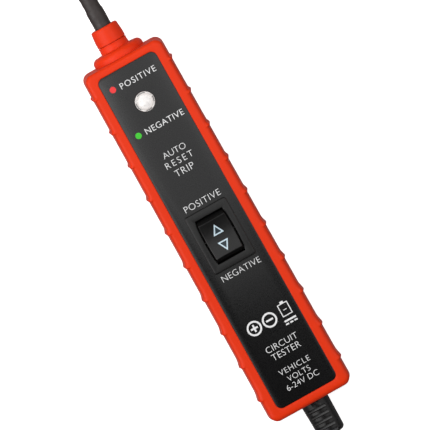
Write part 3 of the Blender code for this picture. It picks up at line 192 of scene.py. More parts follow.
# slot: (dark, light, roughness, its spread, grain, cloud, bump strength, bump height in millimetres)
grainRows = {
    "case_red": ((0.76, 0.034, 0.0045), (0.81, 0.040, 0.0060), 0.34, 0.05, 1600, 45, 0.15, 0.02),
    "label_black": ((0.0018, 0.0018, 0.0020), (0.0028, 0.0028, 0.0029), 0.29, 0.04, 2600, 50, 0.12, 0.008),
    "switch_black": ((0.003, 0.003, 0.003), (0.0055, 0.0052, 0.005), 0.36, 0.06, 2200, 90, 0.2, 0.015),
    "rubber_black": ((0.003, 0.0024, 0.0024), (0.006, 0.005, 0.005), 0.30, 0.06, 1500, 120, 0.2, 0.02),
    "sleeve_black": ((0.017, 0.011, 0.010), (0.029, 0.020, 0.018), 0.50, 0.08, 900, 160, 0.35, 0.04),
    "clear_lens": ((0.90, 0.89, 0.88), (1, 0.99, 0.98), 0.06, 0.02, 500, 60, 0.05, 0.01),
    "frosted": ((0.70, 0.66, 0.64), (0.93, 0.90, 0.88), 0.22, 0.05, 900, 700, 0.3, 0.05),
    "led_epoxy": ((0.55, 0.51, 0.49), (1, 0.99, 0.98), 0.14, 0.05, 700, 650, 0.6, 0.2),
    "board_green": ((0.004, 0.060, 0.012), (0.012, 0.110, 0.026), 0.30, 0.05, 1200, 220, 0.15, 0.03),
    "resistor_tan": ((0.40, 0.26, 0.12), (0.55, 0.38, 0.20), 0.35, 0.05, 900, 300, 0.1, 0.02),
    "phenolic_brown": ((0.020, 0.008, 0.003), (0.045, 0.018, 0.008), 0.45, 0.08, 700, 300, 0.25, 0.04),
    "wire_red": ((0.40, 0.008, 0.006), (0.55, 0.016, 0.010), 0.38, 0.05, 900, 150, 0.15, 0.02),
    "wire_black": ((0.006, 0.006, 0.006), (0.014, 0.014, 0.014), 0.40, 0.05, 900, 150, 0.15, 0.02),
    "wire_yellow": ((0.55, 0.34, 0.01), (0.70, 0.46, 0.03), 0.38, 0.05, 900, 150, 0.15, 0.02),
    "print_white": ((0.78, 0.78, 0.78), (0.88, 0.88, 0.88), 0.50, 0.05, 3000, 400, 0.1, 0.005),
    "print_red": ((0.84, 0.022, 0.024), (0.88, 0.030, 0.032), 0.45, 0.05, 3000, 400, 0.1, 0.005),
    "print_green": ((0.030, 0.54, 0.012), (0.042, 0.60, 0.018), 0.45, 0.05, 3000, 400, 0.1, 0.005),
    "print_blue": ((0.52, 0.66, 0.74), (0.62, 0.76, 0.84), 0.45, 0.05, 3000, 400, 0.1, 0.005),
    "print_teal": ((0.006, 0.018, 0.026), (0.010, 0.026, 0.036), 0.40, 0.05, 3000, 400, 0.1, 0.005),
}
# slot: (dark, light, roughness, how finely the lines repeat along each axis)
metalRows = {
    "zinc_steel": ((0.50, 0.50, 0.51), (0.68, 0.68, 0.70), 0.30, (900, 60, 900)),
    "brass": ((0.62, 0.42, 0.14), (0.80, 0.60, 0.28), 0.28, (800, 80, 800)),
    "bimetal": ((0.50, 0.38, 0.28), (0.66, 0.52, 0.40), 0.34, (1200, 60, 1200)),
}
shaderConstants = {
    "case_red": {"Specular IOR Level": 0.14},
    "switch_black": {"Specular IOR Level": 0.4},
    "rubber_black": {"Specular IOR Level": 0.4},
    "clear_lens": {"IOR": 1.49, "Alpha": 0.12},
    # the frosted lens base gets a faint painted glow, which is painted light, for the lens is no lamp
    "frosted": {"IOR": 1.49, "Emission Color": (1, 0.96, 0.94, 1), "Emission Strength": 0.05},
    # the lamp body is not lit; its glow is painted light, standing in for light reaching it through the clear dome
    "led_epoxy": {"IOR": 1.5, "Emission Color": (1, 0.97, 0.95, 1), "Emission Strength": 0.26},
}
finishes = {}
for slot, (dark, light, rough, spread, grain, cloud, bump, relief) in grainRows.items():
    shares = (rough, spread, bump, relief, shaderConstants.get(slot, {}))
    finishes[slot] = makeFinish(slot, grainGroup, (grain, cloud), dark, light, *shares)
for slot, (dark, light, rough, lines) in metalRows.items():
    shares = (rough, brushed["spread"], brushed["bump"], brushed["relief"], {"Metallic": 1.0})
    finishes[slot] = makeFinish(slot, brushedGroup, (lines,), dark, light, *shares)
print("finishes made:", len(finishes))


# Mesh helpers

weld = 1e-7
sameSpot = 1e-6
sharpTurn = 1.2


def addPiece(name, bm, body, slot, replaced=(), finish=None, sharp=32, flat=False):
    # a finished piece, at the origin, riding on its body
    mesh = bpy.data.meshes.new(name)
    bm.to_mesh(mesh)
    bm.free()
    piece = bpy.data.objects.new(name, mesh)
    if flat:
        mesh.shade_flat()
    else:
        mesh.shade_smooth()
        mesh.set_sharp_from_angle(angle=radians(sharp))
    mesh.materials.append(finishes[finish or slot])
    bpy.context.scene.collection.objects.link(piece)
    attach(piece, body)
    if replaced:
        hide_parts(*replaced)
    return piece


def looseObject(name, bm):
    mesh = bpy.data.meshes.new(name)
    bm.to_mesh(mesh)
    bm.free()
    made = bpy.data.objects.new(name, mesh)
    bpy.context.scene.collection.objects.link(made)
    return made


def carved(name, bm, cuts):
    # bm with each (operation, tool bmesh) applied in turn, as a new bmesh
    piece = looseObject(name, bm)
    tools = []
    for operation, tool in cuts:
        tools.append(looseObject("tool", tool))
        cut = piece.modifiers.new("cut", "BOOLEAN")
        cut.operation = operation
        cut.object = tools[-1]
        cut.solver = "EXACT"
    bpy.context.view_layer.update()
    evaluated = piece.evaluated_get(bpy.context.evaluated_depsgraph_get())
    result = bmesh.new()
    result.from_mesh(evaluated.to_mesh())
    evaluated.to_mesh_clear()
    for other in tools + [piece]:
        bpy.data.objects.remove(other)
    bmesh.ops.remove_doubles(result, verts=result.verts, dist=weld)
    bmesh.ops.dissolve_degenerate(result, edges=result.edges, dist=weld)
    return result


def cube(low, high, bm=None):
    bm = bm or bmesh.new()
    made = bmesh.ops.create_cube(bm, size=1.0)["verts"]
    low, high = Vector(low), Vector(high)
    bmesh.ops.scale(bm, vec=high - low, verts=made)
    bmesh.ops.translate(bm, vec=(low + high) / 2, verts=made)
    return bm


def rod(radius, start, end, bm=None, steps=64):
    bm = bm or bmesh.new()
    start, end = Vector(start), Vector(end)
    along = end - start
    made = bmesh.ops.create_cone(
        bm, cap_ends=True, segments=steps, radius1=radius, radius2=radius, depth=along.length
    )["verts"]
    bmesh.ops.rotate(bm, cent=(0, 0, 0), matrix=along.to_track_quat("Z", "Y").to_matrix(), verts=made)
    bmesh.ops.translate(bm, vec=(start + end) / 2, verts=made)
    return bm


def bevelEdges(bm, chosen, offset, segments):
    edges = [edge for edge in bm.edges if chosen(edge)]
    bmesh.ops.bevel(
        bm, geom=edges, offset=offset, offset_type="OFFSET", segments=segments,
        profile=0.5, affect="EDGES", clamp_overlap=True, material=-1,
    )


def isUpright(edge):
    return abs(edge.verts[0].co.z - edge.verts[1].co.z) > sameSpot


def atHeight(edge, height):
    return all(abs(vert.co.z - height) < sameSpot for vert in edge.verts)


def isMouth(edge, height):
    # an edge where the flat face at this height turns down sharply
    return atHeight(edge, height) and len(edge.link_faces) == 2 and edge.calc_face_angle(0) > sharpTurn


def roundedBlock(width, length, low, high, corner, segments=8, middle=0.0):
    bm = cube((-width / 2, middle - length / 2, low), (width / 2, middle + length / 2, high))
    bevelEdges(bm, isUpright, corner, segments)
    return bm


def bisect(bm, place, normal):
    parts = bm.verts[:] + bm.edges[:] + bm.faces[:]
    bmesh.ops.bisect_plane(bm, geom=parts, dist=weld, plane_co=place, plane_no=normal)


def turnedAbout(bm, verts, angle, axis):
    bmesh.ops.rotate(bm, cent=(0, 0, 0), matrix=Matrix.Rotation(angle, 3, axis), verts=verts)


def softened(corners, segments=6, closed=False):
    # (x, y, radius) corners as a list of points, each corner with a radius drawn as an arc
    points = []
    count = len(corners)
    for index, (x, y, radius) in enumerate(corners):
        if radius == 0 or (not closed and index in (0, count - 1)):
            points.append((x, y))
            continue
        here = Vector((x, y))
        back = (Vector(corners[index - 1][:2]) - here).normalized()
        ahead = (Vector(corners[(index + 1) % count][:2]) - here).normalized()
        half = back.angle(ahead) / 2
        centre = here + (back + ahead).normalized() * radius / sin(half)
        start = here + back * radius * cos(half) / sin(half) - centre
        end = here + ahead * radius * cos(half) / sin(half) - centre
        sweep = start.angle_signed(end)
        for step in range(segments + 1):
            turned = start.copy()
            turned.rotate(Matrix.Rotation(-sweep * step / segments, 2))
            points.append(tuple(centre + turned))
    return points


def spun(profile, centre, along="Y", steps=96, closed=None):
    # turns (radius, height) points about an axis through centre; a profile that meets the axis stays open
    bm = bmesh.new()
    points = [bm.verts.new((radius, 0, height)) for radius, height in profile]
    edges = [bm.edges.new(pair) for pair in zip(points, points[1:])]
    if closed if closed is not None else profile[0][0] > 0:
        edges.append(bm.edges.new((points[-1], points[0])))
    parts = points + edges
    bmesh.ops.spin(bm, geom=parts, cent=(0, 0, 0), axis=(0, 0, 1), angle=tau, steps=steps, use_merge=True)
    bmesh.ops.remove_doubles(bm, verts=bm.verts, dist=weld)
    turns = {"Z": 0, "Y": -pi / 2, "-Y": pi / 2}
    turnedAbout(bm, bm.verts, turns[along], "X")
    bmesh.ops.translate(bm, vec=centre, verts=bm.verts)
    bmesh.ops.recalc_face_normals(bm, faces=bm.faces)
    return bm


def scaled(rows):
    # rows in millimetres, as metres
    return [tuple(value * mm for value in row) for row in rows]


def held(share):
    return min(1, max(0, share))


def eased(share):
    return share * share * (3 - 2 * share)


def extruded(bm):
    # copies every face upwards, still at no height, and gives the copy's vertices
    raised = bmesh.ops.extrude_face_region(bm, geom=bm.faces[:])["geom"]
    return [item for item in raised if isinstance(item, bmesh.types.BMVert)]


# Housing

caseLow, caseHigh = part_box("front_case")
labelLow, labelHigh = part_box("face_label")
lensLow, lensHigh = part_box("led_lens")
frameLow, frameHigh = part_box("switch_frame")
clampLow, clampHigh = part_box("cable_clamp")
case = {
    "length": caseHigh.y - caseLow.y,
    "width": 29.5 * mm,
    "parting": caseLow.z - 0.15 * mm,
    "corner": 2.8 * mm,
    "cornerSteps": 10,
    "edge": 1.5 * mm,
    "edgeSteps": 6,
    "draft": 0.5 * mm,
    "flare": 1.0 * mm,
    "wall": 2.0 * mm,
    "gap": 0.3 * mm,
}
bead = {
    "count": 10,
    "height": 0.52 * mm,
    "first": 7.9 * mm,
    "last": 8.8 * mm,
    "firstRamp": 0.55 * mm,
    "lastRamp": 3.3 * mm,
    "top": 0.35 * mm,
    "back": 0.45 * mm,
    "curve": 0.8,
    "fade": 0.9 * mm,
    "fadeFrom": 0.5 * mm,
    "rampCuts": (1.02, 0.8, 0.6, 0.42, 0.26, 0.12, 0.0),
    "backCuts": (0.0, 0.2, 0.4, 0.6, 0.8, 1.02),
    "sideCuts": (0.02, 0.32, 0.62, 0.92, 1.22, 1.52, 1.82),
    "edgeCut": 0.25 * mm,
}
depth = caseHigh.z
probeEnd, cableEnd = caseHigh.y, caseLow.y
axisZ = depth / 2
gap = case["gap"]
lensY = (lensLow.y + lensHigh.y) / 2
switchY = (frameLow.y + frameHigh.y) / 2
clampY = (clampLow.y + clampHigh.y) / 2


def beadPeaks():
    for number in range(bead["count"]):
        share = number / (bead["count"] - 1)
        first, last = probeEnd - bead["first"], cableEnd + bead["last"]
        ramp = bead["firstRamp"] + share * (bead["lastRamp"] - bead["firstRamp"])
        yield first + share * (last - first), ramp


def beadHeight(y):
    # a ramp up to each bead from the probe's end, and a short way down after it
    top = bead["top"] / 2
    for peak, ramp in beadPeaks():
        if peak - top <= y <= peak + top:
            return bead["height"]
        if peak < y < peak + top + ramp:
            rise = 1 - (y - peak - top) / ramp
            return bead["height"] * rise * rise * (1 + bead["curve"] - bead["curve"] * rise)
        if peak - top - bead["back"] < y < peak:
            return bead["height"] * eased(1 - (peak - top - y) / bead["back"])
    return 0.0


def flareAt(y):
    return 1 - case["flare"] / case["width"] * y / case["length"]


def outerBlock(low, high, face):
    # one half of the housing's outside, its face edge rounded and its beads raised
    bm = roundedBlock(case["width"], case["length"], low, high, case["corner"], case["cornerSteps"])
    bevelEdges(bm, lambda edge: atHeight(edge, face), case["edge"], case["edgeSteps"])
    half = case["width"] / 2
    inner = face + (case["edge"] + bead["edgeCut"]) * (1 if face < case["parting"] else -1)
    bisect(bm, (0, 0, inner), (0, 0, 1))
    for inwards in bead["sideCuts"]:
        for side in (-1, 1):
            bisect(bm, (side * (half - case["edge"] - inwards * mm), 0, 0), (1, 0, 0))
    top = bead["top"] / 2
    for peak, ramp in beadPeaks():
        stations = [peak + top + ramp * share for share in bead["rampCuts"]]
        stations += [peak - top - bead["back"] * share for share in bead["backCuts"]]
        for y in stations:
            bisect(bm, (0, y, 0), (0, 1, 0))
    bm.normal_update()
    parting = low if face == high else high
    moves = []
    for vert in bm.verts:
        inwards = half - bead["fadeFrom"] - abs(vert.co.x)
        grown = beadHeight(vert.co.y) * eased(held(1 - inwards / bead["fade"]))
        normal = Vector((vert.normal.x, 0, vert.normal.z * abs(vert.normal.x)))
        if abs(vert.co.z - parting) < sameSpot:
            onSide = abs(vert.co.x) > half - 1e-5
            normal = Vector(((1 if vert.co.x > 0 else -1) if onSide else 0, 0, 0))
        moves.append((vert, normal * grown))
    for vert, move in moves:
        vert.co += move
    for vert in bm.verts:
        lean = min(1, abs(vert.co.z - case["parting"]) / (depth / 2 - case["edge"])) * case["draft"]
        vert.co.x *= (1 - 2 * lean / case["width"]) * flareAt(vert.co.y)
        vert.co.y *= 1 - 2 * lean / case["length"]
    return bm


screwPlaces = []
for number in range(1, 5):
    low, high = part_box(f"case_screw_{number}")
    screwPlaces.append(((low.x + high.x) / 2, (low.y + high.y) / 2))
boss = {"radius": 3.6 * mm, "pilot": 1.5 * mm, "recess": 2.7 * mm, "recessDepth": 2.6 * mm, "stepCount": 40}
saddle = {
    "bossX": 7.5 * mm,
    "bossRadius": 2.4 * mm,
    "pilot": 1.3 * mm,
    "pilotDepth": 7.0 * mm,
    "halfWidth": 4.8 * mm,
    "halfLength": 1.5 * mm,
    "underAxis": 3.4 * mm,
}
shell = {
    "roof": 2.4 * mm,
    "tongue": 0.8 * mm,
    "lipDepth": 1.5 * mm,
    "bossTop": 2.0 * mm,
    "pilotTop": 4.0 * mm,
    "tongueFoot": 3.0 * mm,
    "tongueTop": 1.2 * mm,
    "ribs": (0.3, 0.7),
    "ribHalf": 0.75 * mm,
    "lipRound": 0.22 * mm,
    "probeHole": 4.6 * mm,
    "cableHole": 4.2 * mm,
    "holeReach": 4.0 * mm,
    "leastCorner": 0.5 * mm,
}
window = {"lensHole": 3.3 * mm, "cutWidth": 13.5 * mm, "cutLength": 19.5 * mm}
label = {"width": 21.6 * mm, "corner": 2.1 * mm, "play": 0.08 * mm, "edge": 0.06 * mm}


def cavity(low, high, inset):
    corner = max(case["corner"] - inset, shell["leastCorner"])
    bm = roundedBlock(case["width"] - 2 * inset, case["length"] - 2 * inset, low, high, corner, 6)
    for vert in bm.verts:
        vert.co.x *= flareAt(vert.co.y)
    return bm


def endHoles():
    reach = shell["holeReach"]
    bm = rod(shell["probeHole"], (0, probeEnd - reach, axisZ), (0, probeEnd + mm, axisZ))
    return rod(shell["cableHole"], (0, cableEnd - mm, axisZ), (0, cableEnd + reach, axisZ), bm)


def labelBlock(play, low, high, segments=12):
    width = label["width"] - 2 * play
    length = labelHigh.y - labelLow.y + 2 * (gap - play)
    middle = (labelLow.y + labelHigh.y) / 2
    bm = roundedBlock(width, length, low, high, label["corner"] - play, segments, middle)
    for vert in bm.verts:
        vert.co.x *= flareAt(vert.co.y)
    return bm


def windowTools(low, high):
    bm = rod(window["lensHole"], (0, lensY, low), (0, lensY, high))
    half = Vector((window["cutWidth"] / 2, window["cutLength"] / 2, 0))
    return cube(Vector((0, switchY, low)) - half, Vector((0, switchY, high)) + half, bm)


def makeFrontShell():
    start = caseLow.z
    bosses = bmesh.new()
    pilots = bmesh.new()
    for x, y in screwPlaces:
        rod(boss["radius"], (x, y, start), (x, y, depth - shell["bossTop"]), bosses, boss["stepCount"])
        rod(boss["pilot"], (x, y, start - mm), (x, y, depth - shell["pilotTop"]), pilots, 32)
    lip = case["wall"] - shell["tongue"] - gap
    bm = carved("front", outerBlock(start, depth, depth), [
        ("DIFFERENCE", cavity(start - mm, case["parting"] + shell["lipDepth"], lip)),
        ("DIFFERENCE", cavity(start - 2 * mm, depth - shell["roof"], case["wall"])),
        ("UNION", bosses),
        ("DIFFERENCE", labelBlock(0, labelLow.z - gap, depth + mm)),
        ("DIFFERENCE", windowTools(depth - 4 * mm, depth + 2 * mm)),
        ("DIFFERENCE", endHoles()),
        ("DIFFERENCE", pilots),
    ])
    bevelEdges(bm, lambda edge: isMouth(edge, depth), shell["lipRound"], 4)
    addPiece("front_case_shell", bm, "housing", "case_red", ["front_case"])


def makeRearShell():
    # supports start inside the floor, so that they join it
    top = case["parting"] - gap / 2
    inFloor = case["wall"] * 0.75
    bosses = bmesh.new()
    holes = bmesh.new()
    heads = bmesh.new()
    for x, y in screwPlaces:
        rod(boss["radius"], (x, y, inFloor), (x, y, top), bosses, boss["stepCount"])
        rod(boss["pilot"], (x, y, 0.5 * mm), (x, y, top + 2 * mm), holes, 32)
        rod(boss["recess"], (x, y, -mm), (x, y, boss["recessDepth"]), heads, 64)
    supports = bmesh.new()
    for x in (-saddle["bossX"], saddle["bossX"]):
        foot, end = (x, clampY, inFloor), (x, clampY, clampLow.z - gap)
        rod(saddle["bossRadius"], foot, end, supports, boss["stepCount"])
        foot, end = (x, clampY, clampLow.z - saddle["pilotDepth"]), (x, clampY, clampLow.z + mm)
        rod(saddle["pilot"], foot, end, holes, 32)
    half = Vector((saddle["halfWidth"], saddle["halfLength"], 0))
    end = Vector((0, clampY, axisZ - saddle["underAxis"]))
    cube(Vector((0, clampY, inFloor)) - half, end + half, supports)
    baseLow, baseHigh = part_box("breaker_base")
    for share in shell["ribs"]:
        y = baseLow.y + share * (baseHigh.y - baseLow.y)
        ribEnd = (baseHigh.x, y + shell["ribHalf"], baseLow.z - gap)
        cube((baseLow.x, y - shell["ribHalf"], inFloor), ribEnd, supports)
    tongue = case["wall"] - shell["tongue"]
    bm = carved("rear", outerBlock(0, top, 0), [
        ("UNION", cavity(top - shell["tongueFoot"], top + shell["tongueTop"], tongue)),
        ("DIFFERENCE", cavity(case["wall"], top + 3 * mm, case["wall"])),
        ("UNION", bosses),
        ("UNION", supports),
        ("DIFFERENCE", endHoles()),
        ("DIFFERENCE", holes),
        ("DIFFERENCE", heads),
    ])
    addPiece("rear_case_shell", bm, "housing", "case_red", ["rear_case"])


def makeLabel():
    bm = labelBlock(label["play"], labelLow.z, labelHigh.z, 14)
    bevelEdges(bm, lambda edge: atHeight(edge, labelHigh.z), label["edge"], 2)
    bm = carved("label", bm, [("DIFFERENCE", windowTools(labelLow.z - mm, labelHigh.z + mm))])
    addPiece("face_label_film", bm, "housing", "label_black", ["face_label"])


makeFrontShell()
makeRearShell()
makeLabel()
print("housing made")


# Printing on the label, in millimetres across it and along it from the probe end's edge

inkLow, inkHigh = labelHigh.z - 0.01 * mm, labelHigh.z + 0.03 * mm
printShift = 0.52
# (words, left, right, near edge, far edge)
words = [
    ("POSITIVE", -4.6, 8.2, 8.0, 10.0),
    ("NEGATIVE", -4.6, 9.2, 24.6, 26.6),
    ("AUTO", -3.6, 4.5, 34.3, 36.3),
    ("RESET", -4.4, 5.4, 37.6, 39.7),
    ("TRIP", -2.9, 3.8, 41.1, 43.3),
    ("POSITIVE", -6.0, 6.9, 52.8, 54.9),
    ("NEGATIVE", -6.3, 7.6, 78.2, 80.2),
    ("CIRCUIT", -5.2, 6.1, 105.3, 107.3),
    ("TESTER", -4.6, 5.6, 108.2, 110.3),
    ("VEHICLE", -5.0, 6.0, 113.8, 115.6),
    ("VOLTS", -3.5, 4.6, 116.7, 118.5),
    ("6-24V DC", -5.2, 6.3, 119.2, 121.1),
]
letter = {
    "size": 3.0 * mm,
    "curveSteps": 5,
    "boldWords": 2,
    "boldOffset": -0.015 * mm,
    "offset": -0.045 * mm,
    "wide": 0.5,
    "leastSpace": 0.9,
}
dots = {"x": -7.2, "radius": 1.03, "places": (("red", 8.7), ("green", 25.6))}
rings = {"station": 98.0, "places": (-4.9, 0.7), "outer": 2.5, "inner": 1.9}
# (left, right, far station, near station) strokes
polarityStrokes = [
    (-6.15, -3.65, 98.3, 97.7),
    (-0.55, 1.95, 98.3, 97.7),
    (-5.2, -4.6, 99.25, 98.3),
    (-5.2, -4.6, 97.7, 96.75),
]
batteryStrokes = [
    (4.9, 8.5, 95.45, 95.15),
    (4.9, 8.5, 99.45, 99.15),
    (4.9, 5.2, 99.15, 95.45),
    (8.2, 8.5, 99.15, 95.45),
    (6.1, 7.3, 95.15, 94.5),
    (6.1, 7.3, 97.52, 97.28),
]
directCurrentStrokes = [
    (4.6, 8.8, 101.2, 100.6),
    (4.6, 5.7, 102.2, 101.7),
    (6.15, 7.25, 102.2, 101.7),
    (7.7, 8.8, 102.2, 101.7),
]


def alongLabel(station):
    return probeEnd - (station - printShift) * mm


def inkPiece(name, bm, slot):
    bmesh.ops.translate(bm, vec=(0, 0, inkHigh - inkLow), verts=extruded(bm))
    bmesh.ops.recalc_face_normals(bm, faces=bm.faces)
    addPiece(name, bm, "housing", slot, flat=True)


def printWords(index, text, left, right, near, far):
    curve = bpy.data.curves.new("words", "FONT")
    curve.body = text
    curve.size = letter["size"]
    curve.offset = letter["boldOffset" if index <= letter["boldWords"] else "offset"]
    curve.resolution_u = letter["curveSteps"]
    letters = bpy.data.objects.new("words", curve)
    bpy.context.scene.collection.objects.link(letters)
    bpy.context.view_layer.update()
    wanted = letters.dimensions.y * (right - left) / (far - near)
    tight = letters.dimensions.x
    curve.space_character = 1 + letter["wide"]
    bpy.context.view_layer.update()
    space = 1 + letter["wide"] * (wanted - tight) / (letters.dimensions.x - tight)
    curve.space_character = max(letter["leastSpace"], space)
    bpy.context.view_layer.update()
    mesh = bpy.data.meshes.new_from_object(letters.evaluated_get(bpy.context.evaluated_depsgraph_get()))
    bpy.data.objects.remove(letters)
    bm = bmesh.new()
    bm.from_mesh(mesh)
    bpy.data.meshes.remove(mesh)
    bmesh.ops.remove_doubles(bm, verts=bm.verts, dist=weld)
    low = Vector((min(v.co.x for v in bm.verts), min(v.co.y for v in bm.verts), 0))
    high = Vector((max(v.co.x for v in bm.verts), max(v.co.y for v in bm.verts), 1))
    target = Vector(((right - left) * mm, (far - near) * mm, 1))
    bmesh.ops.translate(bm, vec=-low, verts=bm.verts)
    bmesh.ops.scale(bm, vec=Vector(t / s for t, s in zip(target, high - low)), verts=bm.verts)
    bmesh.ops.translate(bm, vec=(left * mm, alongLabel(far), inkLow), verts=bm.verts)
    inkPiece(f"print_{index:02d}_words", bm, "print_white")


def disc(bm, x, station, radius, steps):
    made = bmesh.ops.create_circle(bm, cap_ends=True, radius=radius * mm, segments=steps)["verts"]
    bmesh.ops.translate(bm, vec=(x * mm, alongLabel(station), inkLow), verts=made)
    return made[0].link_faces[0]


def addStrokes(bm, strokes):
    for left, right, far, near in strokes:
        made = bmesh.ops.create_grid(bm, x_segments=1, y_segments=1, size=0.5)["verts"]
        low = Vector((left * mm, alongLabel(far), inkLow))
        high = Vector((right * mm, alongLabel(near), inkLow))
        bmesh.ops.scale(bm, vec=(high.x - low.x, high.y - low.y, 1), verts=made)
        bmesh.ops.translate(bm, vec=(low + high) / 2, verts=made)
    return bm


def makeMarks():
    for name, station in dots["places"]:
        bm = bmesh.new()
        disc(bm, dots["x"], station, dots["radius"], 48)
        inkPiece(f"print_{name}_dot", bm, f"print_{name}")
    bm = bmesh.new()
    for x in rings["places"]:
        face = disc(bm, x, rings["station"], rings["outer"], 64)
        width = (rings["outer"] - rings["inner"]) * mm
        bmesh.ops.inset_region(bm, faces=[face], thickness=width, use_even_offset=True, use_boundary=True)
        bmesh.ops.delete(bm, geom=[face], context="FACES_ONLY")
    inkPiece("print_polarity_marks", addStrokes(bm, polarityStrokes), "print_white")
    supply = addStrokes(bmesh.new(), batteryStrokes + directCurrentStrokes)
    inkPiece("print_supply_marks", supply, "print_white")


for index, line in enumerate(words, 1):
    printWords(index, *line)
makeMarks()
print("label printed")


# Indicator

lens = {
    "radius": 3.22 * mm,
    "bore": 2.76 * mm,
    "flange": 1.0 * mm,
    "ledge": 0.35 * mm,
    "shadeNear": 2.78 * mm,
    "shadeFar": 3.06 * mm,
    "shadeHalf": 0.01 * mm,
    "shades": ((62, 56), (164, 54), (250, 42), (332, 37)),
    "domeFoot": 0.03 * mm,
    "domeBore": 3.0 * mm,
    "domeGap": 0.05 * mm,
    "domeWall": 0.4 * mm,
    "domeSteps": 16,
}
lamp = {
    "legs": 3.4 * mm,
    "legPitch": 1.27 * mm,
    "legHalf": 0.25 * mm,
    "legGap": 0.01 * mm,
    "radius": 2.66 * mm,
    "rim": 2.9 * mm,
    "rimHeight": 1.0 * mm,
    "steps": 12,
}


def quarter(radius, height, steps):
    # (radius, height) points of a dome's side, from its rim to the axis
    for step in range(steps + 1):
        turn = pi / 2 * step / steps
        yield (radius * cos(turn) if step < steps else 0), height * sin(turn)


def makeLens():
    # a frosted base with four dark arcs of painted shade round its bore, where the gap lies in shadow, and a clear
    # dome on it
    low, high = lensLow.z, depth - shell["roof"] - gap
    bore, radius, ledge = lens["bore"], lens["radius"], depth + lens["ledge"]
    flange = radius + lens["flange"]
    base = [(bore, low), (flange, low), (flange, high), (radius, high), (radius, ledge), (bore, ledge)]
    bm = spun(base, (0, lensY, 0), "Z", 72)
    addPiece("lens_base", bm, "housing", "clear_lens", ["led_lens"], finish="frosted")
    # four thin black arcs: painted shade laid over the shadowed gap round the bore
    shades = bmesh.new()
    inside, outside, half = lens["shadeNear"], lens["shadeFar"], lens["shadeHalf"]
    for start, sweep in lens["shades"]:
        corners = [(inside, -half), (outside, -half), (outside, half), (inside, half)]
        points = [shades.verts.new((r, 0, ledge + z)) for r, z in corners]
        face = shades.faces.new(points)
        turnedAbout(shades, points, radians(start), "Z")
        parts = [face] + points + face.edges[:]
        bmesh.ops.spin(shades, geom=parts, cent=(0, 0, 0), axis=(0, 0, 1), angle=radians(sweep), steps=16)
    bmesh.ops.translate(shades, vec=(0, lensY, 0), verts=shades.verts)
    bmesh.ops.recalc_face_normals(shades, faces=shades.faces)
    addPiece("lens_painted_shade_arcs", shades, "housing", "clear_lens", finish="rubber_black", flat=True)
    foot = ledge + lens["domeFoot"]
    inner = foot + lens["domeGap"]
    rows = [(lens["domeBore"], foot)]
    rows += [(r, foot + h) for r, h in quarter(radius, lensHigh.z - foot, lens["domeSteps"])]
    under = list(quarter(lens["domeBore"], lensHigh.z - lens["domeWall"] - inner, lens["domeSteps"]))
    rows += [(r, inner + h) for r, h in reversed(under)]
    addPiece("lens_dome", spun(rows, (0, lensY, 0), "Z", 72, False), "housing", "clear_lens")


def makeLamp():
    low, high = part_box("indicator_led")
    base, radius, rim = low.z + lamp["legs"], lamp["radius"], lamp["rim"]
    rows = [(0, base), (rim, base), (rim, base + lamp["rimHeight"]), (radius, base + lamp["rimHeight"])]
    rows += [(r, high.z - radius + h) for r, h in quarter(radius, radius, lamp["steps"])]
    addPiece("lamp_body", spun(rows, (0, lensY, 0), "Z", 64), "housing", "led_epoxy", ["indicator_led"])
    legs = bmesh.new()
    half = lamp["legHalf"]
    for number in (-1, 0, 1):
        x = number * lamp["legPitch"]
        cube((x - half, lensY - half, low.z), (x + half, lensY + half, base - lamp["legGap"]), legs)
    addPiece("lamp_legs", legs, "housing", "zinc_steel", flat=True)


makeLens()
makeLamp()
print("indicator made")


# Rocker switch

pivot = Vector(next(joint["pos_m"] for joint in frame["joints"] if joint["name"] == "rocker_tilt"))
switch = {
    "plate": 0.28 * mm,
    "plateCorner": 0.9 * mm,
    "plateEdge": 0.4 * mm,
    "bodyHalf": (6.45 * mm, 9.45 * mm),
    "bodyDown": 0.6 * mm,
    "openMiddle": 10.95 * mm,
    "openBow": 1.1 * mm,
    "openLength": 15.6 * mm,
    "mouthEdge": 0.25 * mm,
    "ledge": 16.4 * mm,
    "wellHalf": (4.8 * mm, 7.8 * mm),
    "seatRadius": 1.1 * mm,
    "seatReach": 5.95 * mm,
}
rocker = {
    "middle": 9.86 * mm,
    "bow": 0.65 * mm,
    "radius": 7.5 * mm,
    "crease": 6.15 * mm,
    "valley": 0.9 * mm,
    "skirt": 2.0 * mm,
    "cutsAlong": 32,
    "cutsUp": 8,
    "cutsAcross": (-0.47, -0.25, 0, 0.25, 0.47),
    "edge": 0.22 * mm,
    "edgeTurn": 0.6,
    "stubRadius": 0.6 * mm,
    "stubReach": 5.85 * mm,
    "tubeRadius": 2.2 * mm,
    "tubeFoot": -4.5 * mm,
    "boreRadius": 1.3 * mm,
}
mark = {
    "places": (("up", 2.65 * mm, 1), ("down", -3.3 * mm, -1)),
    "width": 3.7 * mm,
    "height": 3.5 * mm,
    "stroke": 0.42 * mm,
    "inks": (("", "print_blue", 0.03 * mm), ("_fill", "print_teal", 0.02 * mm)),
    "sunk": 0.01 * mm,
}
spring = {"wire": 0.15 * mm, "turns": 4, "steps": 32}
creaseHeight = sqrt(rocker["radius"] ** 2 - rocker["crease"] ** 2)


def bowedBlock(middle, bow, length, low, high, steps=24):
    bm = cube((-middle / 2, -length / 2, low), (middle / 2, length / 2, high))
    for step in range(1, steps):
        bisect(bm, (0, length * (step / steps - 0.5), 0), (0, 1, 0))
    for vert in bm.verts:
        share = 2 * vert.co.y / length
        vert.co.x *= 1 - bow / middle * share * share
    return bm


def centredBlock(half, low, high):
    return cube((-half[0], -half[1], low), (half[0], half[1], high))


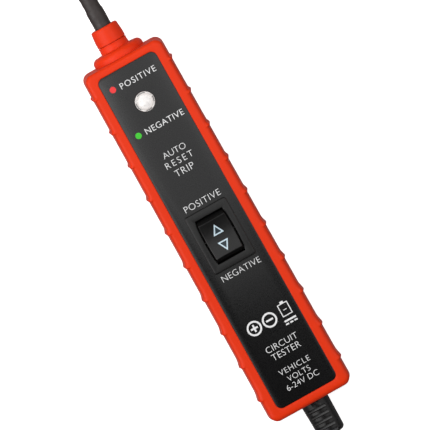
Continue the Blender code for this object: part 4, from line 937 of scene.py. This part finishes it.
def makeSwitchFrame():
    top, foot = frameHigh.z, frameLow.z
    width, length = frameHigh.x - frameLow.x, frameHigh.y - frameLow.y
    bm = roundedBlock(width, length, depth - switch["plate"], top, switch["plateCorner"], 6)
    bevelEdges(bm, lambda edge: atHeight(edge, top), switch["plateEdge"], 4)
    body = centredBlock(switch["bodyHalf"], foot, top - switch["bodyDown"])
    ledge = switch["ledge"]
    opening = bowedBlock(switch["openMiddle"], switch["openBow"], switch["openLength"], ledge, top + mm)
    well = centredBlock(switch["wellHalf"], foot - mm, ledge + mm)
    seatEnd = Vector((switch["seatReach"], 0, 0))
    height = Vector((0, 0, pivot.z))
    seats = rod(switch["seatRadius"], height - seatEnd, height + seatEnd, steps=32)
    cuts = [("UNION", body), ("DIFFERENCE", opening), ("DIFFERENCE", well), ("DIFFERENCE", seats)]
    bm = carved("frame", bm, cuts)
    bevelEdges(bm, lambda edge: isMouth(edge, top), switch["mouthEdge"], 3)
    bmesh.ops.translate(bm, vec=(0, switchY, 0), verts=bm.verts)
    addPiece("switch_frame_shell", bm, "housing", "switch_black", ["switch_frame"])


def faceHeight(y):
    share = min(1, abs(y) / rocker["crease"])
    return creaseHeight - rocker["valley"] * (1 - share * share)


def makeRocker():
    # a block bent to the rocker's side view: round ends about the pivot, a dished top and bowed sides
    bm = cube((-0.5, -1, 0), (0.5, 1, 1))
    for step in range(1, rocker["cutsAlong"]):
        bisect(bm, (0, 2 * step / rocker["cutsAlong"] - 1, 0), (0, 1, 0))
    for step in range(1, rocker["cutsUp"]):
        bisect(bm, (0, 0, step / rocker["cutsUp"]), (0, 0, 1))
    for x in rocker["cutsAcross"]:
        bisect(bm, (x, 0, 0), (1, 0, 0))
    for vert in bm.verts:
        across, along, up = vert.co
        height = -rocker["skirt"] + up * (creaseHeight + rocker["skirt"])
        y = along * sqrt(rocker["radius"] ** 2 - height * height)
        sunk = rocker["valley"] * (1 - along * along) * up
        width = rocker["middle"] - rocker["bow"] * (2 * y / switch["openLength"]) ** 2
        vert.co = Vector((across * width, y, height - sunk))

    def isRim(edge):
        return len(edge.link_faces) == 2 and edge.calc_face_angle(0) > rocker["edgeTurn"]

    bevelEdges(bm, isRim, rocker["edge"], 3)
    stubEnd = Vector((rocker["stubReach"], 0, 0))
    stubs = rod(rocker["stubRadius"], -stubEnd, stubEnd, steps=32)
    tube = rod(rocker["tubeRadius"], (0, 0, rocker["tubeFoot"]), (0, 0, -mm), steps=48)
    bore = rod(rocker["boreRadius"], (0, 0, rocker["tubeFoot"] - 1.5 * mm), (0, 0, 2 * mm), steps=40)
    bm = carved("rocker", bm, [("UNION", stubs), ("UNION", tube), ("DIFFERENCE", bore)])
    bmesh.ops.translate(bm, vec=pivot, verts=bm.verts)
    addPiece("rocker_cap", bm, "rocker", "switch_black", ["rocker"])


def triangle(middle, up):
    # a flat triangle pointing to the probe end (up = 1) or to the cable end
    bm = bmesh.new()
    made = bmesh.ops.create_circle(bm, cap_ends=True, radius=1.0, segments=3)["verts"]
    low, high = min(v.co.y for v in made), max(v.co.y for v in made)
    wide = max(v.co.x for v in made)
    bmesh.ops.translate(bm, vec=(0, -(low + high) / 2, 0), verts=made)
    bmesh.ops.scale(bm, vec=(mark["width"] / 2 / wide, mark["height"] / (high - low), 1), verts=made)
    if up < 0:
        turnedAbout(bm, made, pi, "Z")
    bmesh.ops.translate(bm, vec=(0, middle, 0), verts=made)
    return bm


def makeTriangles():
    for name, middle, up in mark["places"]:
        for part, finish, thick in mark["inks"]:
            bm = triangle(middle, up)
            whole = next(iter(bm.faces))
            rim = bmesh.ops.inset_region(
                bm, faces=[whole], thickness=mark["stroke"], use_even_offset=True, use_boundary=True
            )["faces"]
            bmesh.ops.delete(bm, geom=rim if part else [whole], context="FACES")
            layOnRocker(f"rocker_mark_{name}{part}", bm, finish, thick)


def layOnRocker(name, bm, finish, thick):
    bmesh.ops.subdivide_edges(bm, edges=bm.edges[:], cuts=4, use_grid_fill=True)
    bmesh.ops.triangulate(bm, faces=bm.faces[:])
    tops = set(extruded(bm))
    for vert in bm.verts:
        vert.co.z = faceHeight(vert.co.y) + (thick if vert in tops else -mark["sunk"])
    bmesh.ops.translate(bm, vec=pivot, verts=bm.verts)
    bmesh.ops.recalc_face_normals(bm, faces=bm.faces)
    addPiece(name, bm, "rocker", "switch_black", finish=finish)


def makeSpring():
    # a coil spring; it keeps its length here, though the real one shortens as the plunger rises
    low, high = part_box("plunger_spring")
    wire, turns, steps = spring["wire"], spring["turns"], spring["steps"]
    coil = (high.x - low.x) / 2 - wire
    bm = bmesh.new()
    made = bmesh.ops.create_circle(bm, cap_ends=True, radius=wire, segments=12)["verts"]
    turnedAbout(bm, made, pi / 2, "X")
    bmesh.ops.translate(bm, vec=(coil, 0, low.z + wire), verts=made)
    rise = (high.z - low.z - 2 * wire) / (turns * steps)
    bmesh.ops.spin(
        bm, geom=bm.verts[:] + bm.edges[:] + bm.faces[:], cent=(0, 0, 0), axis=(0, 0, 1),
        dvec=(0, 0, rise), angle=tau * turns, steps=turns * steps,
    )
    bmesh.ops.translate(bm, vec=(pivot.x, pivot.y, 0), verts=bm.verts)
    bmesh.ops.recalc_face_normals(bm, faces=bm.faces)
    piece = addPiece("plunger_spring_coil", bm, "rocker", "zinc_steel", ["plunger_spring"], sharp=60)
    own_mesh(piece)


makeSwitchFrame()
makeRocker()
makeTriangles()
makeSpring()
print("switch made")


# Nozzle, cap and probe: (radius, height above the housing's probe end, rounding) rows in millimetres

endFace = (0, probeEnd, axisZ)
collarRows = [
    (3.18, -4.1, 0), (6.5, -4.1, 0), (6.5, -2.3, 0), (4.3, -2.3, 0), (4.3, -0.4, 0), (8.82, -0.4, 0),
    (8.82, 2.5, 1.8), (4.98, 2.45, 0.4), (4.86, 4.2, 0.9), (4.95, 4.85, 0.1), (3.9, 4.85, 0),
    (3.9, 8.3, 0.3), (3.18, 8.3, 0),
]
capRows = [
    (4.2, 5.02, 0), (4.93, 5.02, 0.12), (4.95, 6.9, 4.0), (4.6, 10.65, 0.7), (3.18, 10.65, 0.2),
    (3.18, 10.0, 0), (4.2, 10.0, 0),
]
rodRows = [
    (0, 4.3, 0), (1.9, 4.3, 0), (1.9, 89.6, 0.5), (1.35, 91.2, 0.8), (0.16, 96.9, 0.1), (0, 97.0, 0),
]
plugRows = [
    (0, -8.7, 0), (1.3, -8.7, 0.2), (1.9, -7.7, 0.3), (1.9, -5.5, 0.2), (1.72, -5.3, 0.1),
    (1.72, -3.0, 0.1), (1.9, -2.8, 0.2), (1.9, 4.0, 0.1), (0, 4.0, 0),
]
thread = {
    "rows": ((3.82, 5.15), (4.08, 5.4), (4.08, 5.55), (3.82, 5.8)),
    "pitch": 1.0 * mm,
    "turns": 2.4,
    "steps": 48,
}
sleeve = {
    "foot": [(2.2, 0.9), (2.88, 0.9)],
    "tip": [(2.67, 74.3), (2.58, 74.8), (2.2, 75.0)],
    "start": 1.5,
    "end": 74.2,
    "step": 0.6,
    "radius": 2.86,
    "layer": 0.2,
    "layerEnd": 16.3,
    "layerRamp": 1.0,
    "waves": ((0.035, 0.9, 0.0), (0.03, 2.3, 1.0), (0.02, 0.37, 0.0)),
    "wavesUnderLayer": 0.4,
    "unevenFrom": 12,
    "outside": 2.35 * mm,
    "oval": (0.008, 2, 0.15),
    "threeSided": (0.005, 3, -0.4),
}


def makeNozzle():
    collar = spun(softened(scaled(collarRows)), endFace)
    addPiece("nozzle_collar_body", collar, "housing", "case_red", ["nozzle_collar"])
    bm = bmesh.new()
    points = [bm.verts.new((r * mm, 0, h * mm)) for r, h in thread["rows"]]
    face = bm.faces.new(points)
    bmesh.ops.spin(
        bm, geom=[face] + points + face.edges[:], cent=(0, 0, 0), axis=(0, 0, 1),
        dvec=(0, 0, thread["pitch"] / thread["steps"]), angle=tau * thread["turns"],
        steps=int(thread["steps"] * thread["turns"]),
    )
    turnedAbout(bm, bm.verts, -pi / 2, "X")
    bmesh.ops.translate(bm, vec=endFace, verts=bm.verts)
    bmesh.ops.recalc_face_normals(bm, faces=bm.faces)
    addPiece("nozzle_thread", bm, "housing", "case_red")
    cap = spun(softened(scaled(capRows), closed=True), endFace)
    addPiece("nozzle_cap_body", cap, "nozzle_cap", "case_red", ["nozzle_cap"])


def makeSleeve():
    # heat-shrunk: one layer ends a little past the cap, and the skin follows small lumps underneath
    rows = list(sleeve["foot"])
    station = sleeve["start"]
    while station < sleeve["end"]:
        wave = sum(size * sin(station * often + shift) for size, often, shift in sleeve["waves"])
        past = eased(held((station - sleeve["layerEnd"]) / sleeve["layerRamp"]))
        wave *= sleeve["wavesUnderLayer"] + (1 - sleeve["wavesUnderLayer"]) * past
        rows.append((sleeve["radius"] - sleeve["layer"] * past + wave, station))
        station += sleeve["step"]
    bm = spun(scaled(rows + sleeve["tip"]), endFace, steps=64)
    for vert in bm.verts:  # the tube is never quite round
        turn = atan2(vert.co.z - axisZ, vert.co.x)
        along = (vert.co.y - probeEnd) / mm
        outside = vert.co.x ** 2 + (vert.co.z - axisZ) ** 2 > sleeve["outside"] ** 2
        if outside and along > sleeve["unevenFrom"]:
            uneven = (sleeve["oval"], sleeve["threeSided"])
            grow = 1 + sum(size * sin(sides * turn + along * twist) for size, sides, twist in uneven)
            vert.co.x *= grow
            vert.co.z = axisZ + (vert.co.z - axisZ) * grow
    addPiece("probe_sleeve_skin", bm, "probe", "sleeve_black", ["probe_sleeve"], sharp=50)


def makeProbe():
    makeSleeve()
    for name, rows, slot, node in (
        ("probe_rod_needle", rodRows, "zinc_steel", "probe_rod"),
        ("probe_plug_pin", plugRows, "brass", "probe_plug"),
    ):
        addPiece(name, spun(softened(scaled(rows)), endFace, steps=64), "probe", slot, [node], sharp=50)


# Strain relief: (radius, height below the housing's cable end, rounding) rows in millimetres
bootRows = [
    (3.1, -4.1, 0), (5.4, -4.1, 0), (5.4, -2.3, 0), (3.9, -2.3, 0), (3.9, 0.05, 0), (4.74, 0.05, 0.2),
    (4.5, 12.35, 1.3), (3.1, 12.35, 0.25),
]
boot = {
    "slots": 5,
    "firstSlot": 2.0 * mm,
    "pitch": 2.15 * mm,
    "slotHalf": 3.3 * mm,
    "slotLength": 1.2 * mm,
    "slotFloor": 3.25 * mm,
    "slotTop": 6.0 * mm,
    "slotEdge": 0.22 * mm,
    "turn": -13.0,
    "lean": 0.75 * mm,
    "leanOver": 0.3 * mm,
}


def makeBoot():
    bm = spun(softened(scaled(bootRows), closed=True), (0, cableEnd, axisZ), "-Y", 96)
    slots = bmesh.new()
    for number in range(boot["slots"]):
        high = cableEnd - (boot["firstSlot"] + boot["pitch"] * number)
        low = high - boot["slotLength"]
        for bottom, top in ((-boot["slotTop"], -boot["slotFloor"]), (boot["slotFloor"], boot["slotTop"])):
            cube((-boot["slotHalf"], low, bottom), (boot["slotHalf"], high, top), slots)
    bevelEdges(slots, lambda edge: True, boot["slotEdge"], 3)
    turnedAbout(slots, slots.verts, radians(boot["turn"]), "Y")
    bmesh.ops.translate(slots, vec=(0, 0, axisZ), verts=slots.verts)
    bm = carved("boot", bm, [("DIFFERENCE", slots)])
    for vert in bm.verts:  # the boot leans a little to one side
        vert.co.x += boot["lean"] * held((cableEnd - vert.co.y) / boot["leanOver"])
    addPiece("strain_relief_boot", bm, "housing", "rubber_black", ["strain_relief"])


makeNozzle()
makeProbe()
makeBoot()
print("nozzle, probe and strain relief made")


# Screws in the back: (radius, height, rounding) rows of the head in millimetres

screw = {
    "rows": [(0, 0, 0), (1.9, 0.02, 0.3), (2.4, 0.75, 0.4), (2.4, 1.7, 0), (1.2, 1.7, 0)],
    "shank": 1.2 * mm,
    "pointLength": 1.2 * mm,
    "crossLong": 1.25 * mm,
    "crossShort": 0.26 * mm,
    "crossDepth": 0.9 * mm,
}


def makeScrews():
    for number, (x, y) in enumerate(screwPlaces, 1):
        low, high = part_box(f"case_screw_{number}")
        length = high.z - low.z
        rows = scaled(screw["rows"]) + [(screw["shank"], length - screw["pointLength"], 0), (0, length, 0)]
        bm = spun(softened(rows), (x, y, low.z), "Z", 48)
        arms = (screw["crossLong"], screw["crossShort"])
        slots = []
        for across, along in (arms, arms[::-1]):
            half = Vector((across, along, 0))
            foot, top = Vector((x, y, low.z - mm)), Vector((x, y, low.z + screw["crossDepth"]))
            slots.append(("DIFFERENCE", cube(foot - half, top + half)))
        bm = carved("screw", bm, slots)
        addPiece(f"case_screw_{number}_cross", bm, "housing", "zinc_steel", [f"case_screw_{number}"])


makeScrews()
print("screws made")

# The CAD nodes that stay get their finish
for row in frame["record"]["subparts"]:
    kept = frame["nodes"][row["node"]]
    kept.data.materials.clear()
    kept.data.materials.append(finishes[row["material_slot"]])
print("kept nodes finished")


# Floor and light

floorSet = {
    "size": 3.0,
    "height": -0.02 * mm,
    "unseen": (0.30, 0.30, 0.30, 1),
    "seen": (0.92, 0.92, 0.92, 1),
    "glow": 0.75,
    "roughness": 0.9,
    "specular": 0.1,
}
worldLight = 0.05
# name: (place, target, size, watts, seen in reflections)
lights = {
    "left": ((-0.85, 0.1, 0.72), (0, 0, 0), (0.9, 1.3), 7.6, True),
    "right": ((0.85, 0.0, 0.72), (0, 0, 0), (0.9, 1.3), 3.0, True),
    "cableSide": ((0, -1.2, 0.7), (0, 0, 0), (1.4, 0.6), 0.7, True),
    "probeSide": ((-0.2, 1.2, 0.55), (0, 0, 0), (1.2, 0.7), 2.4, False),
    "overhead": ((-0.15, 0.455, 0.55), (-0.15, 0.455, 0), (1.3, 1.06), 4.9, True),
}


def makeFloor():
    # the floor looks plain white, and throws little light back on the object's sides
    bm = bmesh.new()
    bmesh.ops.create_grid(bm, x_segments=1, y_segments=1, size=floorSet["size"])
    bmesh.ops.translate(bm, vec=(0, 0, floorSet["height"]), verts=bm.verts)
    floor = looseObject("floor", bm)
    pale = bpy.data.materials.new("paleFloor")
    pale.use_nodes = True
    tree = pale.node_tree
    shader = tree.nodes["Principled BSDF"]
    looks = addNode(tree, "ShaderNodeLightPath").outputs["Is Camera Ray"]
    ends = {"in_6": floorSet["unseen"], "in_7": floorSet["seen"]}
    colour = addNode(tree, "ShaderNodeMix", [(0, looks)], data_type="RGBA", **ends)
    tree.links.new(colour.outputs[2], shader.inputs["Base Color"])
    glow = addNode(tree, "ShaderNodeMath", [(0, looks)], operation="MULTIPLY", in_1=floorSet["glow"])
    tree.links.new(glow.outputs[0], shader.inputs["Emission Strength"])
    shader.inputs["Emission Color"].default_value = (1, 1, 1, 1)
    shader.inputs["Roughness"].default_value = floorSet["roughness"]
    shader.inputs["Specular IOR Level"].default_value = floorSet["specular"]
    floor.data.materials.append(pale)
    floor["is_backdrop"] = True


def addLight(name, place, target, size, power, reflected):
    data = bpy.data.lights.new(name, "AREA")
    data.shape = "RECTANGLE"
    data.size, data.size_y = size
    data.energy = power
    light = bpy.data.objects.new(name, data)
    light.location = place
    light.rotation_euler = (Vector(place) - Vector(target)).to_track_quat("Z", "Y").to_euler()
    light.visible_camera = False
    light.visible_glossy = reflected
    bpy.context.scene.collection.objects.link(light)


makeFloor()
world = bpy.data.worlds.new("studio")
world.use_nodes = True
world.node_tree.nodes["Background"].inputs[0].default_value = (1, 1, 1, 1)
world.node_tree.nodes["Background"].inputs[1].default_value = worldLight
bpy.context.scene.world = world
bpy.context.scene.view_settings.view_transform = "Standard"
for name, settings in lights.items():
    addLight(name, *settings)
print("floor and lights made")

low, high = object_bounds()
